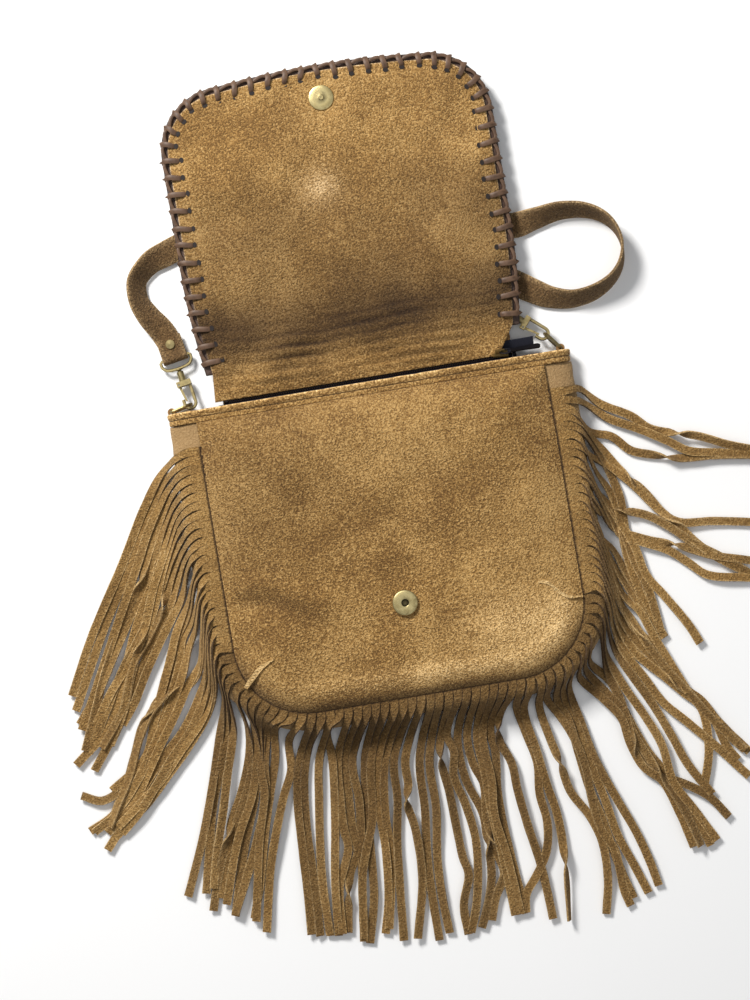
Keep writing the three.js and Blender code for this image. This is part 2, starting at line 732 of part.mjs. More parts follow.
// ---------------------------------------------------------------- D-rings, tabs and clasps
// A ring on an upright bar at its own origin, reaching along X.
function dRing() {
  const points = [];
  const corner = (x, z) => points.push(new THREE.Vector3(x, 0, z));
  corner(0, -RING_HALF + 1.2);
  corner(0, RING_HALF - 1.2);
  corner(0.4, RING_HALF - 0.4);
  corner(1.2, RING_HALF);
  const centre = RING_REACH - RING_HALF;
  for (let i = 0; i <= 10; i++) {
    const turn = Math.PI / 2 - (Math.PI * i) / 10;
    corner(centre + RING_HALF * Math.cos(turn), RING_HALF * Math.sin(turn));
  }
  corner(1.2, -RING_HALF);
  corner(0.4, -RING_HALF + 0.4);
  return wire(points, WIRE_R, true);
}

// A loop of suede round the ring's bar, and its tail sewn inside the gusset.
function ringTab(inward) {
  const inner = WIRE_R + GAP;
  const outer = inner + 1.4;
  const tail = inward * (outer - 0.8);
  const loop = washer(inner, outer, -3.4, 3.4);
  const [near, far] = [tail - inward * 1.4, tail].sort((a, b) => a - b);
  const strip = box([near, -11, -1], [far, 0, 2.5]);
  const bar = rod(0, 0, -4, 4, inner, 20);
  return cut(joined(loop, strip), bar);
}

const HOOK_HALF = 4;
const HOOK_DROP = 16; // from the barrel to the middle of the hook's bend
const RING_IN_HOOK = HOOK_DROP + HOOK_HALF - 2 * WIRE_R - GAP; // the ring's wire rests in the bend
const EYE_BAR = 18; // from the barrel's foot to the eye's straight bar
const PIN = [-3.6, -1.9];

function hook() {
  const points = [new THREE.Vector3(HOOK_HALF, -0.8, 0)];
  for (let i = 0; i <= 10; i++) {
    const turn = -(Math.PI * i) / 10;
    points.push(new THREE.Vector3(HOOK_HALF * Math.cos(turn), -HOOK_DROP + HOOK_HALF * Math.sin(turn), 0));
  }
  points.push(new THREE.Vector3(-HOOK_HALF, -HOOK_DROP + 3.4, 0));
  const barrel = turned([[1.6, 7.4], [2.1, 7.4], [2.5, 6.9], [2.5, 0], [0, 0], [0, 1.2], [2, 1.2], [2, 4], [1.6, 4], [1.6, 7.4]].reverse())
    .rotateX(-Math.PI / 2);
  const ear = (from, to) => box([-5, -3.4, from], [5.2, 0.4, to]);
  const holes = rod(...PIN, -4, 4, 0.75, 10);
  const body = joined(wire(points, WIRE_R), barrel, ear(1.6, 2.4), ear(-2.4, -1.6), box([1.4, -1.6, -2], [5, 0.4, 2]));
  return cut(body, holes);
}

function gate() {
  const lever = new THREE.Shape();
  lever.moveTo(-4.4, -2.2).lineTo(-2.5, -14.2).lineTo(-1.2, -14.2).lineTo(-2.6, -1.6).closePath();
  const body = joined(rod(...PIN, -1.2, 0.4, 1.15, 12), plate(lever, -1.1, 0.35));
  return cut(body, rod(...PIN, -4, 4, 0.75, 10));
}

// The eye's closed wire, with the swivel post and the head that the barrel turns on.
function eye() {
  const curve = new THREE.CatmullRomCurve3(
    axes([11, 14.2, 0], [8.6, 11.2, 0], [3.5, 10, 0], [-3.5, 10, 0], [-8.6, 11.2, 0], [-11, 14.2, 0]),
  );
  const points = [...curve.getPoints(14), ...axes([-11, EYE_BAR - 1, 0], [-10, EYE_BAR, 0], [10, EYE_BAR, 0], [11, EYE_BAR - 1, 0])];
  const post = turned([[0, 1.9], [1.7, 1.9], [1.7, 3.5], [1.1, 3.7], [1.1, 7.8], [2.2, 8.6], [2.2, 9.4], [0, 10.2]], 14)
    .rotateX(-Math.PI / 2);
  return joined(wire(points, 1.1, true), post);
}

const RINGS = {
  left: { bar: [-140.5, 113.6], swing: 14, axis: [-0.17, 0.985] },
  right: { bar: [138, 113.6], swing: 128.3, axis: [-0.75, 0.66] },
};
const clasps = {};
for (const [side, { bar, swing, axis }] of Object.entries(RINGS)) {
  const inward = bar[0] < 0 ? 1 : -1;
  const tab = add(`d_ring_tab_${side}`, ringTab(inward), SUEDE_DARK);
  tab.position.set(...bar, RING_Z);
  const ring = add(`d_ring_${side}`, dRing(), BRASS);
  ring.position.set(...bar, RING_Z);
  ring.rotation.z = radians(swing);

  const tip = new THREE.Vector3(...bar, RING_Z);
  tip.x += RING_REACH * Math.cos(radians(swing));
  tip.y += RING_REACH * Math.sin(radians(swing));
  const fall = (RING_Z - EYE_BAR_Z) / (RING_IN_HOOK + EYE_BAR);
  const level = Math.sqrt(1 - fall * fall) / Math.hypot(...axis);
  const back = new THREE.Vector3(axis[0] * level, axis[1] * level, -fall);
  const up = new THREE.Vector3(0, 0, 1).addScaledVector(back, fall).normalize();
  const across = back.clone().cross(up);
  const clasp = new THREE.Group();
  clasp.quaternion.setFromRotationMatrix(new THREE.Matrix4().makeBasis(across, back, up));
  clasp.position.copy(tip).addScaledVector(back, RING_IN_HOOK).addScaledVector(across, -0.5);
  bag.add(clasp);
  clasps[side] = { back, across, foot: clasp.position.clone() };
  add(`clasp_eye_${side}`, eye(), BRASS, clasp);
  add(`clasp_hook_${side}`, hook(), BRASS, clasp);
  add(`clasp_gate_${side}`, gate(), BRASS, clasp);
  add(`clasp_gate_pin_${side}`, rod(...PIN, -2.7, 2.7, 0.45, 8), STEEL, clasp);
  const spring = new THREE.TorusGeometry(0.95, 0.25, 6, 12).translate(...PIN, 1);
  add(`clasp_spring_${side}`, spring, STEEL, clasp);
}

// ---------------------------------------------------------------- strap
// The strap's route from the left eye to the right one: x, y and how far its left edge is rolled up.
const STRAP_ROUTE = [
  [-138.5, 172, 8],
  [-146, 184, 28],
  [-151, 197, 46],
  [-150, 209, 48],
  [-141, 219, 40],
  [-126, 226, 12],
  [-104, 233, 0],
  [-72, 238, 0],
  [-36, 235, 0],
  [0, 230, 0],
  [36, 229, 0],
  [70, 223, 0],
  [98, 211, 0],
  [117, 205.5, 4],
  [135, 207, 38],
  [153, 209.5, 52],
  [169, 207.5, 62],
  [182, 201, 74],
  [190, 191, 86],
  [193, 179, 95],
  [190, 166, 104],
  [182, 156, 112],
  [169, 149, 122],
  [153, 146.5, 128],
  [138, 150, 140],
  [125, 157.5, 162],
  [112, 166.5, 178],
  [96, 176, 180],
  [70, 190, 180],
  [36, 199, 180],
  [-4, 201, 180],
  [-44, 197, 180],
  [-74, 187, 180],
  [-90, 171, 180],
  [-84, 154, 180],
  [-62, 146, 180],
  [-26, 146, 180],
  [12, 149, 180],
  [46, 156, 180],
  [70, 161, 180],
  [84, 161, 180],
];
const FOLD_R = 2.4; // the strap's middle round the eye's bar
const RIVET_AT = 10; // from the bar
const RETURN = 15; // how far the turned-back end reaches
const LOWER_Z = 2.2;

// The strap's sections where it is folded round an eye's bar, from its cut end out along the strap.
function strapFold({ back, across, foot }) {
  const bar = foot.clone().addScaledVector(back, EYE_BAR);
  const out = new THREE.Vector3(back.x, back.y, 0).normalize();
  const wide = across.clone().negate();
  const stations = [];
  const put = (distance, z, tangent) => {
    stations.push({ place: new THREE.Vector3(bar.x, bar.y, z).addScaledVector(out, distance), tangent, wide });
  };
  const inwards = out.clone().negate();
  put(RETURN, LOWER_Z + STRAP_THICK + 2 * GAP, inwards);
  put(RIVET_AT - 3, LOWER_Z + STRAP_THICK + 2 * GAP + 0.1, inwards);
  for (let i = 0; i <= 6; i++) {
    const turn = Math.PI / 2 + (Math.PI * i) / 6;
    const tangent = out.clone().multiplyScalar(-Math.sin(turn)).setZ(Math.cos(turn));
    put(FOLD_R * Math.cos(turn), bar.z + FOLD_R * Math.sin(turn), tangent);
  }
  put(RIVET_AT, LOWER_Z, out);
  return { stations, rivet: bar.clone().addScaledVector(out, RIVET_AT), out };
}

function strap(leftFold, rightFold) {
  const ends = [leftFold, rightFold].map(({ rivet }) => rivet);
  const lean = (fold, angle) => new THREE.Vector3(fold.x, fold.y, angle);
  const control = [lean(ends[0], 0), ...axes(...STRAP_ROUTE), lean(ends[1], 180)];
  const curve = new THREE.CatmullRomCurve3(control, false, "centripetal");
  const stations = curve.getPoints(56).slice(1, -1).map((point, i, list) => {
    const before = list[Math.max(i - 1, 0)];
    const after = list[Math.min(i + 1, list.length - 1)];
    const tangent = new THREE.Vector3(after.x - before.x, after.y - before.y, 0).normalize();
    const roll = radians(THREE.MathUtils.clamp(point.z, 0, 180));
    const left = new THREE.Vector3(-tangent.y, tangent.x, 0);
    const wide = left.multiplyScalar(Math.cos(roll)).setZ(Math.sin(roll));
    const lift = (STRAP_WIDTH / 2) * Math.sin(roll) + (STRAP_THICK / 2) * Math.abs(Math.cos(roll));
    return { place: new THREE.Vector3(point.x, point.y, 2 * GAP + lift), tangent, wide };
  });
  const turnedBack = rightFold.stations.map(({ place, tangent, wide }) => ({
    place,
    wide,
    tangent: tangent.clone().negate(),
  }));
  const all = [...leftFold.stations, ...stations, ...turnedBack.reverse()];
  const rings = all.map(({ place, tangent, wide }) => {
    const thick = tangent.clone().cross(wide).normalize();
    const corner = (w, t) =>
      place.clone().addScaledVector(wide, w).addScaledVector(thick, t);
    const [w, t, c] = [STRAP_WIDTH / 2, STRAP_THICK / 2, 0.5];
    return [corner(w, t - c), corner(w - c, t), corner(c - w, t), corner(-w, t - c), corner(-w, c - t), corner(c - w, -t), corner(w - c, -t), corner(w, c - t)];
  });
  return skin(rings);
}

const folds = { left: strapFold(clasps.left), right: strapFold(clasps.right) };
const holes = Object.values(folds).map(({ rivet }) => rod(rivet.x, rivet.y, -1, 12, 1.5 + GAP, 12));
add("shoulder_strap", cut(strap(folds.left, folds.right), ...holes), STRAP_SUEDE);
for (const [side, { rivet }] of Object.entries(folds)) {
  const top = LOWER_Z + 1.5 * STRAP_THICK + 2 * GAP + 0.35;
  const body = turned([[0, GAP], [3, GAP], [3, 0.8], [1.5, 0.85], [1.5, top], [3.4, top], [3.2, top + 0.7], [0, top + 1]], 16);
  add(`strap_rivet_${side}`, body.translate(rivet.x, rivet.y, 0), BRASS);
}

export default bag;
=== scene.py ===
import math
import random

import bpy
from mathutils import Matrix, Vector, noise


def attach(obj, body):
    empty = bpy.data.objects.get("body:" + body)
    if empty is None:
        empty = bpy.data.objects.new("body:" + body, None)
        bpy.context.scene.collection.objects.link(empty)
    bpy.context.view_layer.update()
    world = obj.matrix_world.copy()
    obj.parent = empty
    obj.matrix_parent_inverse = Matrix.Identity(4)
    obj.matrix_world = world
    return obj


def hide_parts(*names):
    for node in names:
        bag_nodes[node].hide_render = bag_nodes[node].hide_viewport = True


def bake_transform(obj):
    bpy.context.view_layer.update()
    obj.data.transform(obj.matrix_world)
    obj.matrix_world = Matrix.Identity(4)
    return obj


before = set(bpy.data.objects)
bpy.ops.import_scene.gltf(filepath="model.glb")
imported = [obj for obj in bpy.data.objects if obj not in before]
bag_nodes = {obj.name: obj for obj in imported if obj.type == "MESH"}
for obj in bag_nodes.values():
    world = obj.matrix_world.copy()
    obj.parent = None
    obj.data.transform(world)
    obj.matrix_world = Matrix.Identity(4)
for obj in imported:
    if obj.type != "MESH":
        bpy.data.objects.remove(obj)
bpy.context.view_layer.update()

# ------------------------------------------------------------------ table, camera and lights
# The bag lies on its back on a pale table and is looked at from straight above, turned a little, in
# soft light that comes over the flap's left corner. The sizes of this section are metres.
BAG_TURN = -9.44
LENS_HEIGHT = 1.6
VIEW_LENGTH = 0.706
TABLE_HALF, TABLE_DROP = 4, 0.0004

camera_data = bpy.data.cameras.new("camera")
camera_data.sensor_width = 36
camera_data.lens = camera_data.sensor_width * LENS_HEIGHT / VIEW_LENGTH
camera = bpy.data.objects.new("camera", camera_data)
camera.location = (-0.009, 0.029, 0.012 + LENS_HEIGHT)
camera.rotation_euler = (0, 0, math.radians(BAG_TURN))
bpy.context.scene.collection.objects.link(camera)
bpy.context.scene.camera = camera

bpy.context.scene.view_settings.view_transform = "Standard"


def soft_light(name, place, size, power, color=(1, 1, 1)):
    data = bpy.data.lights.new(name, "AREA")
    data.shape = "SQUARE"
    data.size = size
    data.energy = power
    data.color = color
    light = bpy.data.objects.new(name, data)
    light.location = place
    light.rotation_euler = (Vector((0, 0, 0)) - Vector(place)).to_track_quat("-Z", "Y").to_euler()
    bpy.context.scene.collection.objects.link(light)


soft_light("window", (-0.72, 1.25, 1.2), 0.45, 47, (1.0, 0.985, 0.96))
soft_light("ceiling", (0.3, -0.2, 2.2), 2.2, 9)

world = bpy.data.worlds.new("room")
world.use_nodes = True
world.node_tree.nodes["Background"].inputs["Color"].default_value = (0.95, 0.97, 1, 1)
world.node_tree.nodes["Background"].inputs["Strength"].default_value = 0.3
bpy.context.scene.world = world


def put(tree, kind, inputs=None, **settings):
    """Adds one shader node, its settings and its inputs, each a value or another node's socket."""
    made = tree.nodes.new("ShaderNode" + kind)
    for key, value in settings.items():
        setattr(made, key, value)
    for key, value in (inputs or {}).items():
        if isinstance(value, bpy.types.NodeSocket):
            tree.links.new(value, made.inputs[key])
        else:
            made.inputs[key].default_value = value
    return made


def new_material(name):
    material = bpy.data.materials.new(name)
    material.use_nodes = True
    material.node_tree.nodes.clear()
    return material


def finish_with(tree, **inputs):
    """Ends a material: a Principled surface with these inputs."""
    named = {key.replace("_", " "): value for key, value in inputs.items()}
    shader = put(tree, "BsdfPrincipled", named)
    put(tree, "OutputMaterial", {"Surface": shader.outputs[0]})


def tint(tree, factor, a, b, **settings):
    """Colour a turned into colour b as far as factor says."""
    mixed = put(tree, "Mix", {"Factor": factor, "A": a, "B": b}, data_type="RGBA", **settings)
    return mixed.outputs["Result"]


def clouds(tree, place, scale, detail, **more):
    """A soft noise over a place, with more of its inputs by name."""
    return put(tree, "TexNoise", {"Vector": place, "Scale": scale, "Detail": detail, **more}).outputs["Fac"]


def table_top():
    material = new_material("table_top")
    tree = material.node_tree
    place = put(tree, "TexCoord").outputs["Object"]
    tone = tint(tree, clouds(tree, place, 3.0, 2.0), (0.86, 0.86, 0.86, 1), (0.9, 0.9, 0.9, 1))
    finish_with(tree, Base_Color=tone, Roughness=0.8)
    mesh = bpy.data.meshes.new("table_top")
    corners = ((-1, -1), (1, -1), (1, 1), (-1, 1))
    mesh.from_pydata([(x * TABLE_HALF, y * TABLE_HALF, 0) for x, y in corners], [], [(0, 1, 2, 3)])
    mesh.materials.append(material)
    table = bpy.data.objects.new("table_top", mesh)
    table.location.z = -TABLE_DROP
    bpy.context.scene.collection.objects.link(table)


table_top()


# ------------------------------------------------------------------ shoulder strap
# A long strap of two bonded plies of suede, 18 mm wide, folded round the eye of a clasp at each end
# and held there by a brass rivet. It runs from the left clasp out beside the flap, under the flap to
# the right, comes round in a loop on its edge and goes back under the flap. From here on, sizes are
# millimetres until they reach a mesh or the frame, which are in metres.
MM = 0.001


def rgba(red, green, blue):
    """A colour given as it looks, 0 to 255, in the light values that a shader takes."""
    def linear(value):
        value /= 255
        return value / 12.92 if value <= 0.04045 else ((value + 0.055) / 1.055) ** 2.4

    return (linear(red), linear(green), linear(blue), 1)


def mix(a, b, t):
    return a + (b - a) * t


def smooth(low, high, value):
    t = min(max((value - low) / (high - low), 0), 1)
    return t * t * (3 - 2 * t)


def catmull(points, count):
    """count + 1 points on a centripetal Catmull-Rom curve, the points spread evenly by number."""
    made = []
    last = len(points) - 1
    for step in range(count + 1):
        at = last * step / count
        i = min(int(at), last - 1)
        t = at - i
        p1, p2 = points[i], points[i + 1]
        p0 = points[i - 1] if i > 0 else p1 * 2 - p2
        p3 = points[i + 2] if i + 2 <= last else p2 * 2 - p1
        gaps = [(q - p).length ** 0.5 for p, q in ((p0, p1), (p1, p2), (p2, p3))]
        gaps = [gap if gap > 1e-4 else 1.0 for gap in gaps]
        d0, d1, d2 = gaps
        m1 = ((p1 - p0) / d0 - (p2 - p0) / (d0 + d1) + (p2 - p1) / d1) * d1
        m2 = ((p2 - p1) / d1 - (p3 - p1) / (d1 + d2) + (p3 - p2) / d2) * d1
        square, cube = p1 * -3 + p2 * 3 - m1 * 2 - m2, p1 * 2 - p2 * 2 + m1 + m2
        made.append(p1 + m1 * t + square * t * t + cube * t ** 3)
    return made


def neighbours(line, i):
    """The points before and after one on an open line; an end stands in for the one it lacks."""
    return line[max(i - 1, 0)], line[min(i + 1, len(line) - 1)]


def read_mark(marks, ring, point, single):
    """A mark from a list per ring, or from one plain list by its single index; 0 with no list."""
    if marks is None:
        return 0
    return marks[ring][point] if isinstance(marks[0], (list, tuple)) else marks[single]


class Build:
    """Points and faces of one piece, with its marks: a number from 0 to 1 at each point."""

    def __init__(self):
        self.points, self.faces, self.marks = [], [], {"edge": [], "dark": []}

    def point(self, place, edge=0.0, dark=0.0):
        self.points.append(place)
        self.marks["edge"].append(edge)
        self.marks["dark"].append(dark)
        return len(self.points) - 1

    def skin(self, rings, edges=None, darks=None, caps=True):
        """Faces over rows of rings. A plain list gives edges by ring point and darks by ring."""
        around = len(rings[0])
        start = len(self.points)
        for i, ring in enumerate(rings):
            for j, place in enumerate(ring):
                self.point(place, read_mark(edges, i, j, j), read_mark(darks, i, j, i))
        end = start + (len(rings) - 1) * around
        for here in range(start, end, around):
            for j in range(around):
                k = (j + 1) % around
                self.faces.append((here + j, here + k, here + around + k, here + around + j))
        if caps:
            self.faces.append(tuple(range(start + around - 1, start - 1, -1)))
            self.faces.append(tuple(range(end, end + around)))

    def piece(self, name, material, body, sharp=50):
        """Makes the object, riding on a body of the bag unless body is None."""
        mesh = bpy.data.meshes.new(name)
        mesh.from_pydata([tuple(p * MM) for p in self.points], [], self.faces)
        rest = mesh.attributes.new("rest", "FLOAT_VECTOR", "POINT")
        rest.data.foreach_set("vector", [c * MM for p in self.points for c in p])
        for key, values in self.marks.items():
            if any(values):
                mesh.attributes.new(key, "FLOAT", "POINT").data.foreach_set("value", values)
        mesh.materials.append(material)
        mesh.polygons.foreach_set("use_smooth", [True] * len(mesh.polygons))
        mesh.set_sharp_from_angle(angle=math.radians(sharp))
        made = bpy.data.objects.new(name, mesh)
        bpy.context.scene.collection.objects.link(made)
        if body:
            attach(made, body)
        return made


def shader_group(name, inputs, outputs):
    """A shader node group, its inputs (name, socket kind, value) and outputs (name, socket kind)."""
    group = bpy.data.node_groups.new(name, "ShaderNodeTree")
    for label, kind, value in inputs:
        socket = group.interface.new_socket(label, in_out="INPUT", socket_type="NodeSocket" + kind)
        if value is not None:
            socket.default_value = value
    for label, kind in outputs:
        group.interface.new_socket(label, in_out="OUTPUT", socket_type="NodeSocket" + kind)
    return group, group.nodes.new("NodeGroupInput").outputs, group.nodes.new("NodeGroupOutput").inputs


def rest_place(tree):
    """Where each point of a piece was made, which stays with the surface as a body moves."""
    return put(tree, "Attribute", attribute_name="rest").outputs["Vector"]


def mark(tree, name):
    """A piece's edge or dark mark, as a mask."""
    return put(tree, "Attribute", attribute_name=name).outputs["Fac"]


def spread(tree, value, low, high, to_low=0.0, to_high=1.0):
    """A value between low and high, stretched to lie between to_low and to_high."""
    limits = {"From Min": low, "From Max": high, "To Min": to_low, "To Max": to_high}
    return put(tree, "MapRange", {"Value": value, **limits}).outputs["Result"]


def nap_group():
    """Brushed suede: cloudy patches where the nap lies one way or the other, and a fine raised grain."""
    group, given, result = shader_group(
        "suede_nap",
        [("Place", "Vector", None), ("Body", "Color", None), ("Shade", "Color", None),
         ("Pale", "Color", None), ("Grain", "Float", 1.0), ("Contrast", "Float", 1.0)],
        [("Color", "Color"), ("Height", "Float"), ("Roughness", "Float")],
    )

    def nap_noise(scale, detail, warp):
        return clouds(group, given["Place"], scale, detail, Roughness=0.5, Distortion=warp)

    def blended(factor, a, b):
        return put(group, "Mix", {"Factor": factor, "A": a, "B": b}).outputs["Result"]

    def math_node(operation, *values):
        return put(group, "Math", dict(enumerate(values)), operation=operation).outputs[0]

    fine = nap_noise(820, 1.5, 0.6)
    cloud = spread(group, nap_noise(15, 3, 0.4), 0.32, 0.68)
    patch = spread(group, nap_noise(38, 3, 0.4), 0.3, 0.7)
    tuft = spread(group, nap_noise(430, 1, 0.8), 0.3, 0.7)
    lie = blended(0.2, spread(group, fine, 0.3, 0.7), tuft)
    tone = spread(group, blended(0.66, blended(0.35, cloud, patch), lie), 0.26, 0.74)
    pushed = math_node("MULTIPLY_ADD", math_node("SUBTRACT", tone, 0.5), given["Contrast"], 0.5)
    lower = tint(group, spread(group, pushed, 0.0, 0.5), given["Shade"], given["Body"])
    upper = tint(group, spread(group, pushed, 0.5, 1.0), lower, given["Pale"])
    for key, value in (("Color", upper), ("Height", math_node("MULTIPLY", fine, given["Grain"])),
                       ("Roughness", spread(group, patch, 0.0, 1.0, 0.86, 0.98))):
        group.links.new(value, result[key])
    return group


NAP = nap_group()
# the colour that every dark mark darkens towards: painted shade, and some darker tone
PAINTED_SHADE_AND_TONE_DARK = (52, 33, 14)


def suede(name, body, shade, pale, edge, grain=1.0, contrast=1.0):
    """Suede, with its cut edges in their own colour, and its dark mark: painted shade in creases, slits and
    under edges, with some darker tone.
    """
    material = new_material(name)
    tree = material.node_tree
    nap = put(tree, "Group", node_tree=NAP)
    tree.links.new(rest_place(tree), nap.inputs["Place"])
    for key, value in (("Body", rgba(*body)), ("Shade", rgba(*shade)), ("Pale", rgba(*pale)),
                       ("Grain", grain), ("Contrast", contrast)):
        nap.inputs[key].default_value = value
    lift, sink = ([a / b for a, b in zip(rgba(*color), rgba(*body))] for color in (edge, PAINTED_SHADE_AND_TONE_DARK))
    cut = tint(tree, mark(tree, "edge"), nap.outputs["Color"], lift, blend_type="MULTIPLY")
    # the dark mark: mostly painted shade in creases, slits and under edges, with some darker tone
    tone_and_painted_shade = tint(tree, mark(tree, "dark"), cut, sink, blend_type="MULTIPLY")
    bump = put(tree, "Bump", {"Strength": 1.0, "Distance": 0.0018, "Height": nap.outputs["Height"]})
    finish_with(tree, Base_Color=tone_and_painted_shade, Roughness=nap.outputs["Roughness"], Normal=bump.outputs[0],
                Specular_IOR_Level=0.25, Sheen_Weight=0.12, Sheen_Roughness=0.6,
                Sheen_Tint=(0.95, 0.75, 0.5, 1))
    return material


STRAP_WIDE, STRAP_THICK = 18.0, 2.0
STRAP_ROUTE = [
    [-138.5, 172, 8], [-146, 184, 28], [-151, 197, 46], [-150, 209, 48], [-141, 219, 40], [-126, 226, 12],
    [-104, 233, 0], [-72, 238, 0], [-36, 235, 0], [0, 230, 0], [36, 229, 0], [70, 223, 0], [98, 211, 0],
    [117, 205.5, 4], [135, 207, 38], [153, 209.5, 52], [169, 207.5, 62], [182, 201, 74], [190, 191, 86],
    [193, 179, 95], [190, 166, 104], [182, 156, 112], [169, 149, 122], [153, 146.5, 128], [138, 150, 140],
    [125, 157.5, 162], [112, 166.5, 178], [96, 176, 180], [70, 190, 180], [36, 199, 180], [-4, 201, 180],
    [-44, 197, 180], [-74, 187, 180], [-90, 171, 180], [-84, 154, 180], [-62, 146, 180], [-26, 146, 180],
    [12, 149, 180], [46, 156, 180], [70, 161, 180], [84, 161, 180],
]
STRAP_STEPS, STRAP_GAP = 336, 0.6
EYE_BAR, FOLD_LOW, FOLD_RADIUS, FOLD_STEPS = 18, 2.2, 2.4, 12
CLASPS = {
    "left": {"across": Vector((0.98543, 0.17007, 0)), "back": Vector((-0.16928, 0.98085, -0.09632)),
             "up": Vector((-0.01638, 0.09491, 0.99535)), "foot": Vector((-129.36689, 134.11249, 6.33371))},
    "right": {"across": Vector((0.66063, 0.75071, 0)), "back": Vector((-0.74722, 0.65756, -0.09632)),
              "up": Vector((-0.07231, 0.06363, 0.99535)), "foot": Vector((115.44604, 136.37201, 6.33371))},
}


def strap_fold(clasp):
    """Stations of the strap where it turns round an eye's bar, from its cut end outwards."""
    bar = clasp["foot"] + clasp["back"] * EYE_BAR
    out = Vector((clasp["back"].x, clasp["back"].y, 0)).normalized()
    wide = -clasp["across"]
    stations = []

    def station(distance, z, tangent):
        stations.append((Vector((bar.x, bar.y, z)) + out * distance, tangent, wide))

    for distance, rise in ((15.5, 0.0), (13, 0.05), (10, 0.12), (7, 0.1), (3.5, 0.05)):
        station(distance, FOLD_LOW + STRAP_THICK + STRAP_GAP + rise, -out)
    for i in range(FOLD_STEPS + 1):
        turn = math.pi / 2 + math.pi * i / FOLD_STEPS
        tangent = out * -math.sin(turn) + Vector((0, 0, math.cos(turn)))
        station(FOLD_RADIUS * math.cos(turn), bar.z + FOLD_RADIUS * math.sin(turn), tangent)
    station(4, FOLD_LOW, out)
    station(10, FOLD_LOW, out)
    return stations, bar + out * 10, bar


def shoulder_strap():
    left, left_rivet, left_bar = strap_fold(CLASPS["left"])
    right, right_rivet, right_bar = strap_fold(CLASPS["right"])
    ends = [Vector((left_rivet.x, left_rivet.y, 0)), Vector((right_rivet.x, right_rivet.y, 180))]
    control = [ends[0], *[Vector(p) for p in STRAP_ROUTE], ends[1]]
    line = catmull(control, STRAP_STEPS)[6:-6]
    stations = []
    for i, place in enumerate(line):
        before, after = neighbours(line, i)
        tangent = Vector((after.x - before.x, after.y - before.y, 0)).normalized()
        roll = math.radians(min(max(place.z, 0), 180))
        wide = Vector((-tangent.y, tangent.x, 0)) * math.cos(roll) + Vector((0, 0, math.sin(roll)))
        lift = STRAP_WIDE / 2 * math.sin(roll) + STRAP_THICK / 2 * abs(math.cos(roll))
        stations.append((Vector((place.x, place.y, STRAP_GAP + lift)), tangent, wide))
    back = [(place, -tangent, wide) for place, tangent, wide in reversed(right)]
    every = left + stations + back

    # one ply's edge above the other's, with the pale line of the cut between them
    half, thick = STRAP_WIDE / 2, STRAP_THICK / 2
    section = [(-half, -0.25), (-half + 0.15, -thick + 0.25), (-half + 0.5, -thick), (-half * 0.5, -thick),
               (0, -thick), (half * 0.5, -thick), (half - 0.5, -thick), (half - 0.15, -thick + 0.25),
               (half, -0.25), (half - 0.3, 0), (half, 0.25), (half - 0.15, thick - 0.25), (half - 0.5, thick),
               (half * 0.5, thick), (0, thick), (-half * 0.5, thick), (-half + 0.5, thick),
               (-half + 0.15, thick - 0.25), (-half, 0.25), (-half + 0.3, 0)]
    edges = [0.9, 0.9, 0.35, 0, 0, 0, 0.35, 0.9, 0.9, 0.1, 0.9, 0.9, 0.35, 0, 0, 0, 0.35, 0.9, 0.9, 0.1]
    rings = []
    for i, (place, tangent, wide) in enumerate(every):
        normal = tangent.cross(wide).normalized()
        sway = noise.noise(place * 0.06) * 0.5
        ring = []
        for w, t in section:
            wobble = 1 + 0.012 * noise.noise(place * 0.11 + Vector((w, 0, 3)))
            ring.append(place + wide * (w * wobble) + normal * (t + sway * 0.15 * (w / half) ** 2))
        rings.append(ring)
    build = Build()
    build.skin(rings, edges)
    strap = build.piece("shoulder_strap_suede", STRAP_SUEDE, "root")
    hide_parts("shoulder_strap")


STRAP_SUEDE = suede("strap_suede", (98, 73, 44), (70, 51, 29), (124, 97, 62), (168, 138, 98), contrast=0.9)
shoulder_strap()


# ------------------------------------------------------------------ back panel and gusset
# The back is one flat panel of darker suede that also runs up behind the zip as the flap's neck. The
# gusset is a strip of the same suede round the sides and bottom, its lips sewn in at both seams.
MOUTH_Y, BOTTOM_Y, HALF_WIDTH, CORNER_R = 110, -111, 124, 52
SEAM_Z, MOUTH_Z, CROWN_Z = 24, 17.5, 33.5
BAND_DEPTH, BULGE, BOTTOM_BULGE, SUEDE = 6.7, 19, 13, 2
HINGE_Y, FLAP_Z, NECK_HALF = 135, 10, 104
SIDE = MOUTH_Y - BOTTOM_Y - CORNER_R
ARC = math.pi / 2 * CORNER_R
SEAM_LENGTH = 2 * SIDE + 2 * ARC + 2 * (HALF_WIDTH - CORNER_R)


def seam(distance, offset=0):
    """The point on the U-shaped seam at a distance from the mouth's left end, and the way out there."""
    right = distance > SEAM_LENGTH / 2
    run = SEAM_LENGTH - distance if right else distance
    if run <= SIDE:
        x, y, angle = -HALF_WIDTH, MOUTH_Y - run, math.pi
    elif run <= SIDE + ARC:
        angle = math.pi + (run - SIDE) / CORNER_R
        x = -HALF_WIDTH + CORNER_R + CORNER_R * math.cos(angle)
        y = BOTTOM_Y + CORNER_R + CORNER_R * math.sin(angle)
    else:
        x, y, angle = -HALF_WIDTH + CORNER_R + run - SIDE - ARC, BOTTOM_Y, 1.5 * math.pi
    x += offset * math.cos(angle)
    y += offset * math.sin(angle)
    return (-x, y, 3 * math.pi - angle) if right else (x, y, angle)


def seam_height(y):
    return mix(SEAM_Z, MOUTH_Z, smooth(55, MOUTH_Y, y))


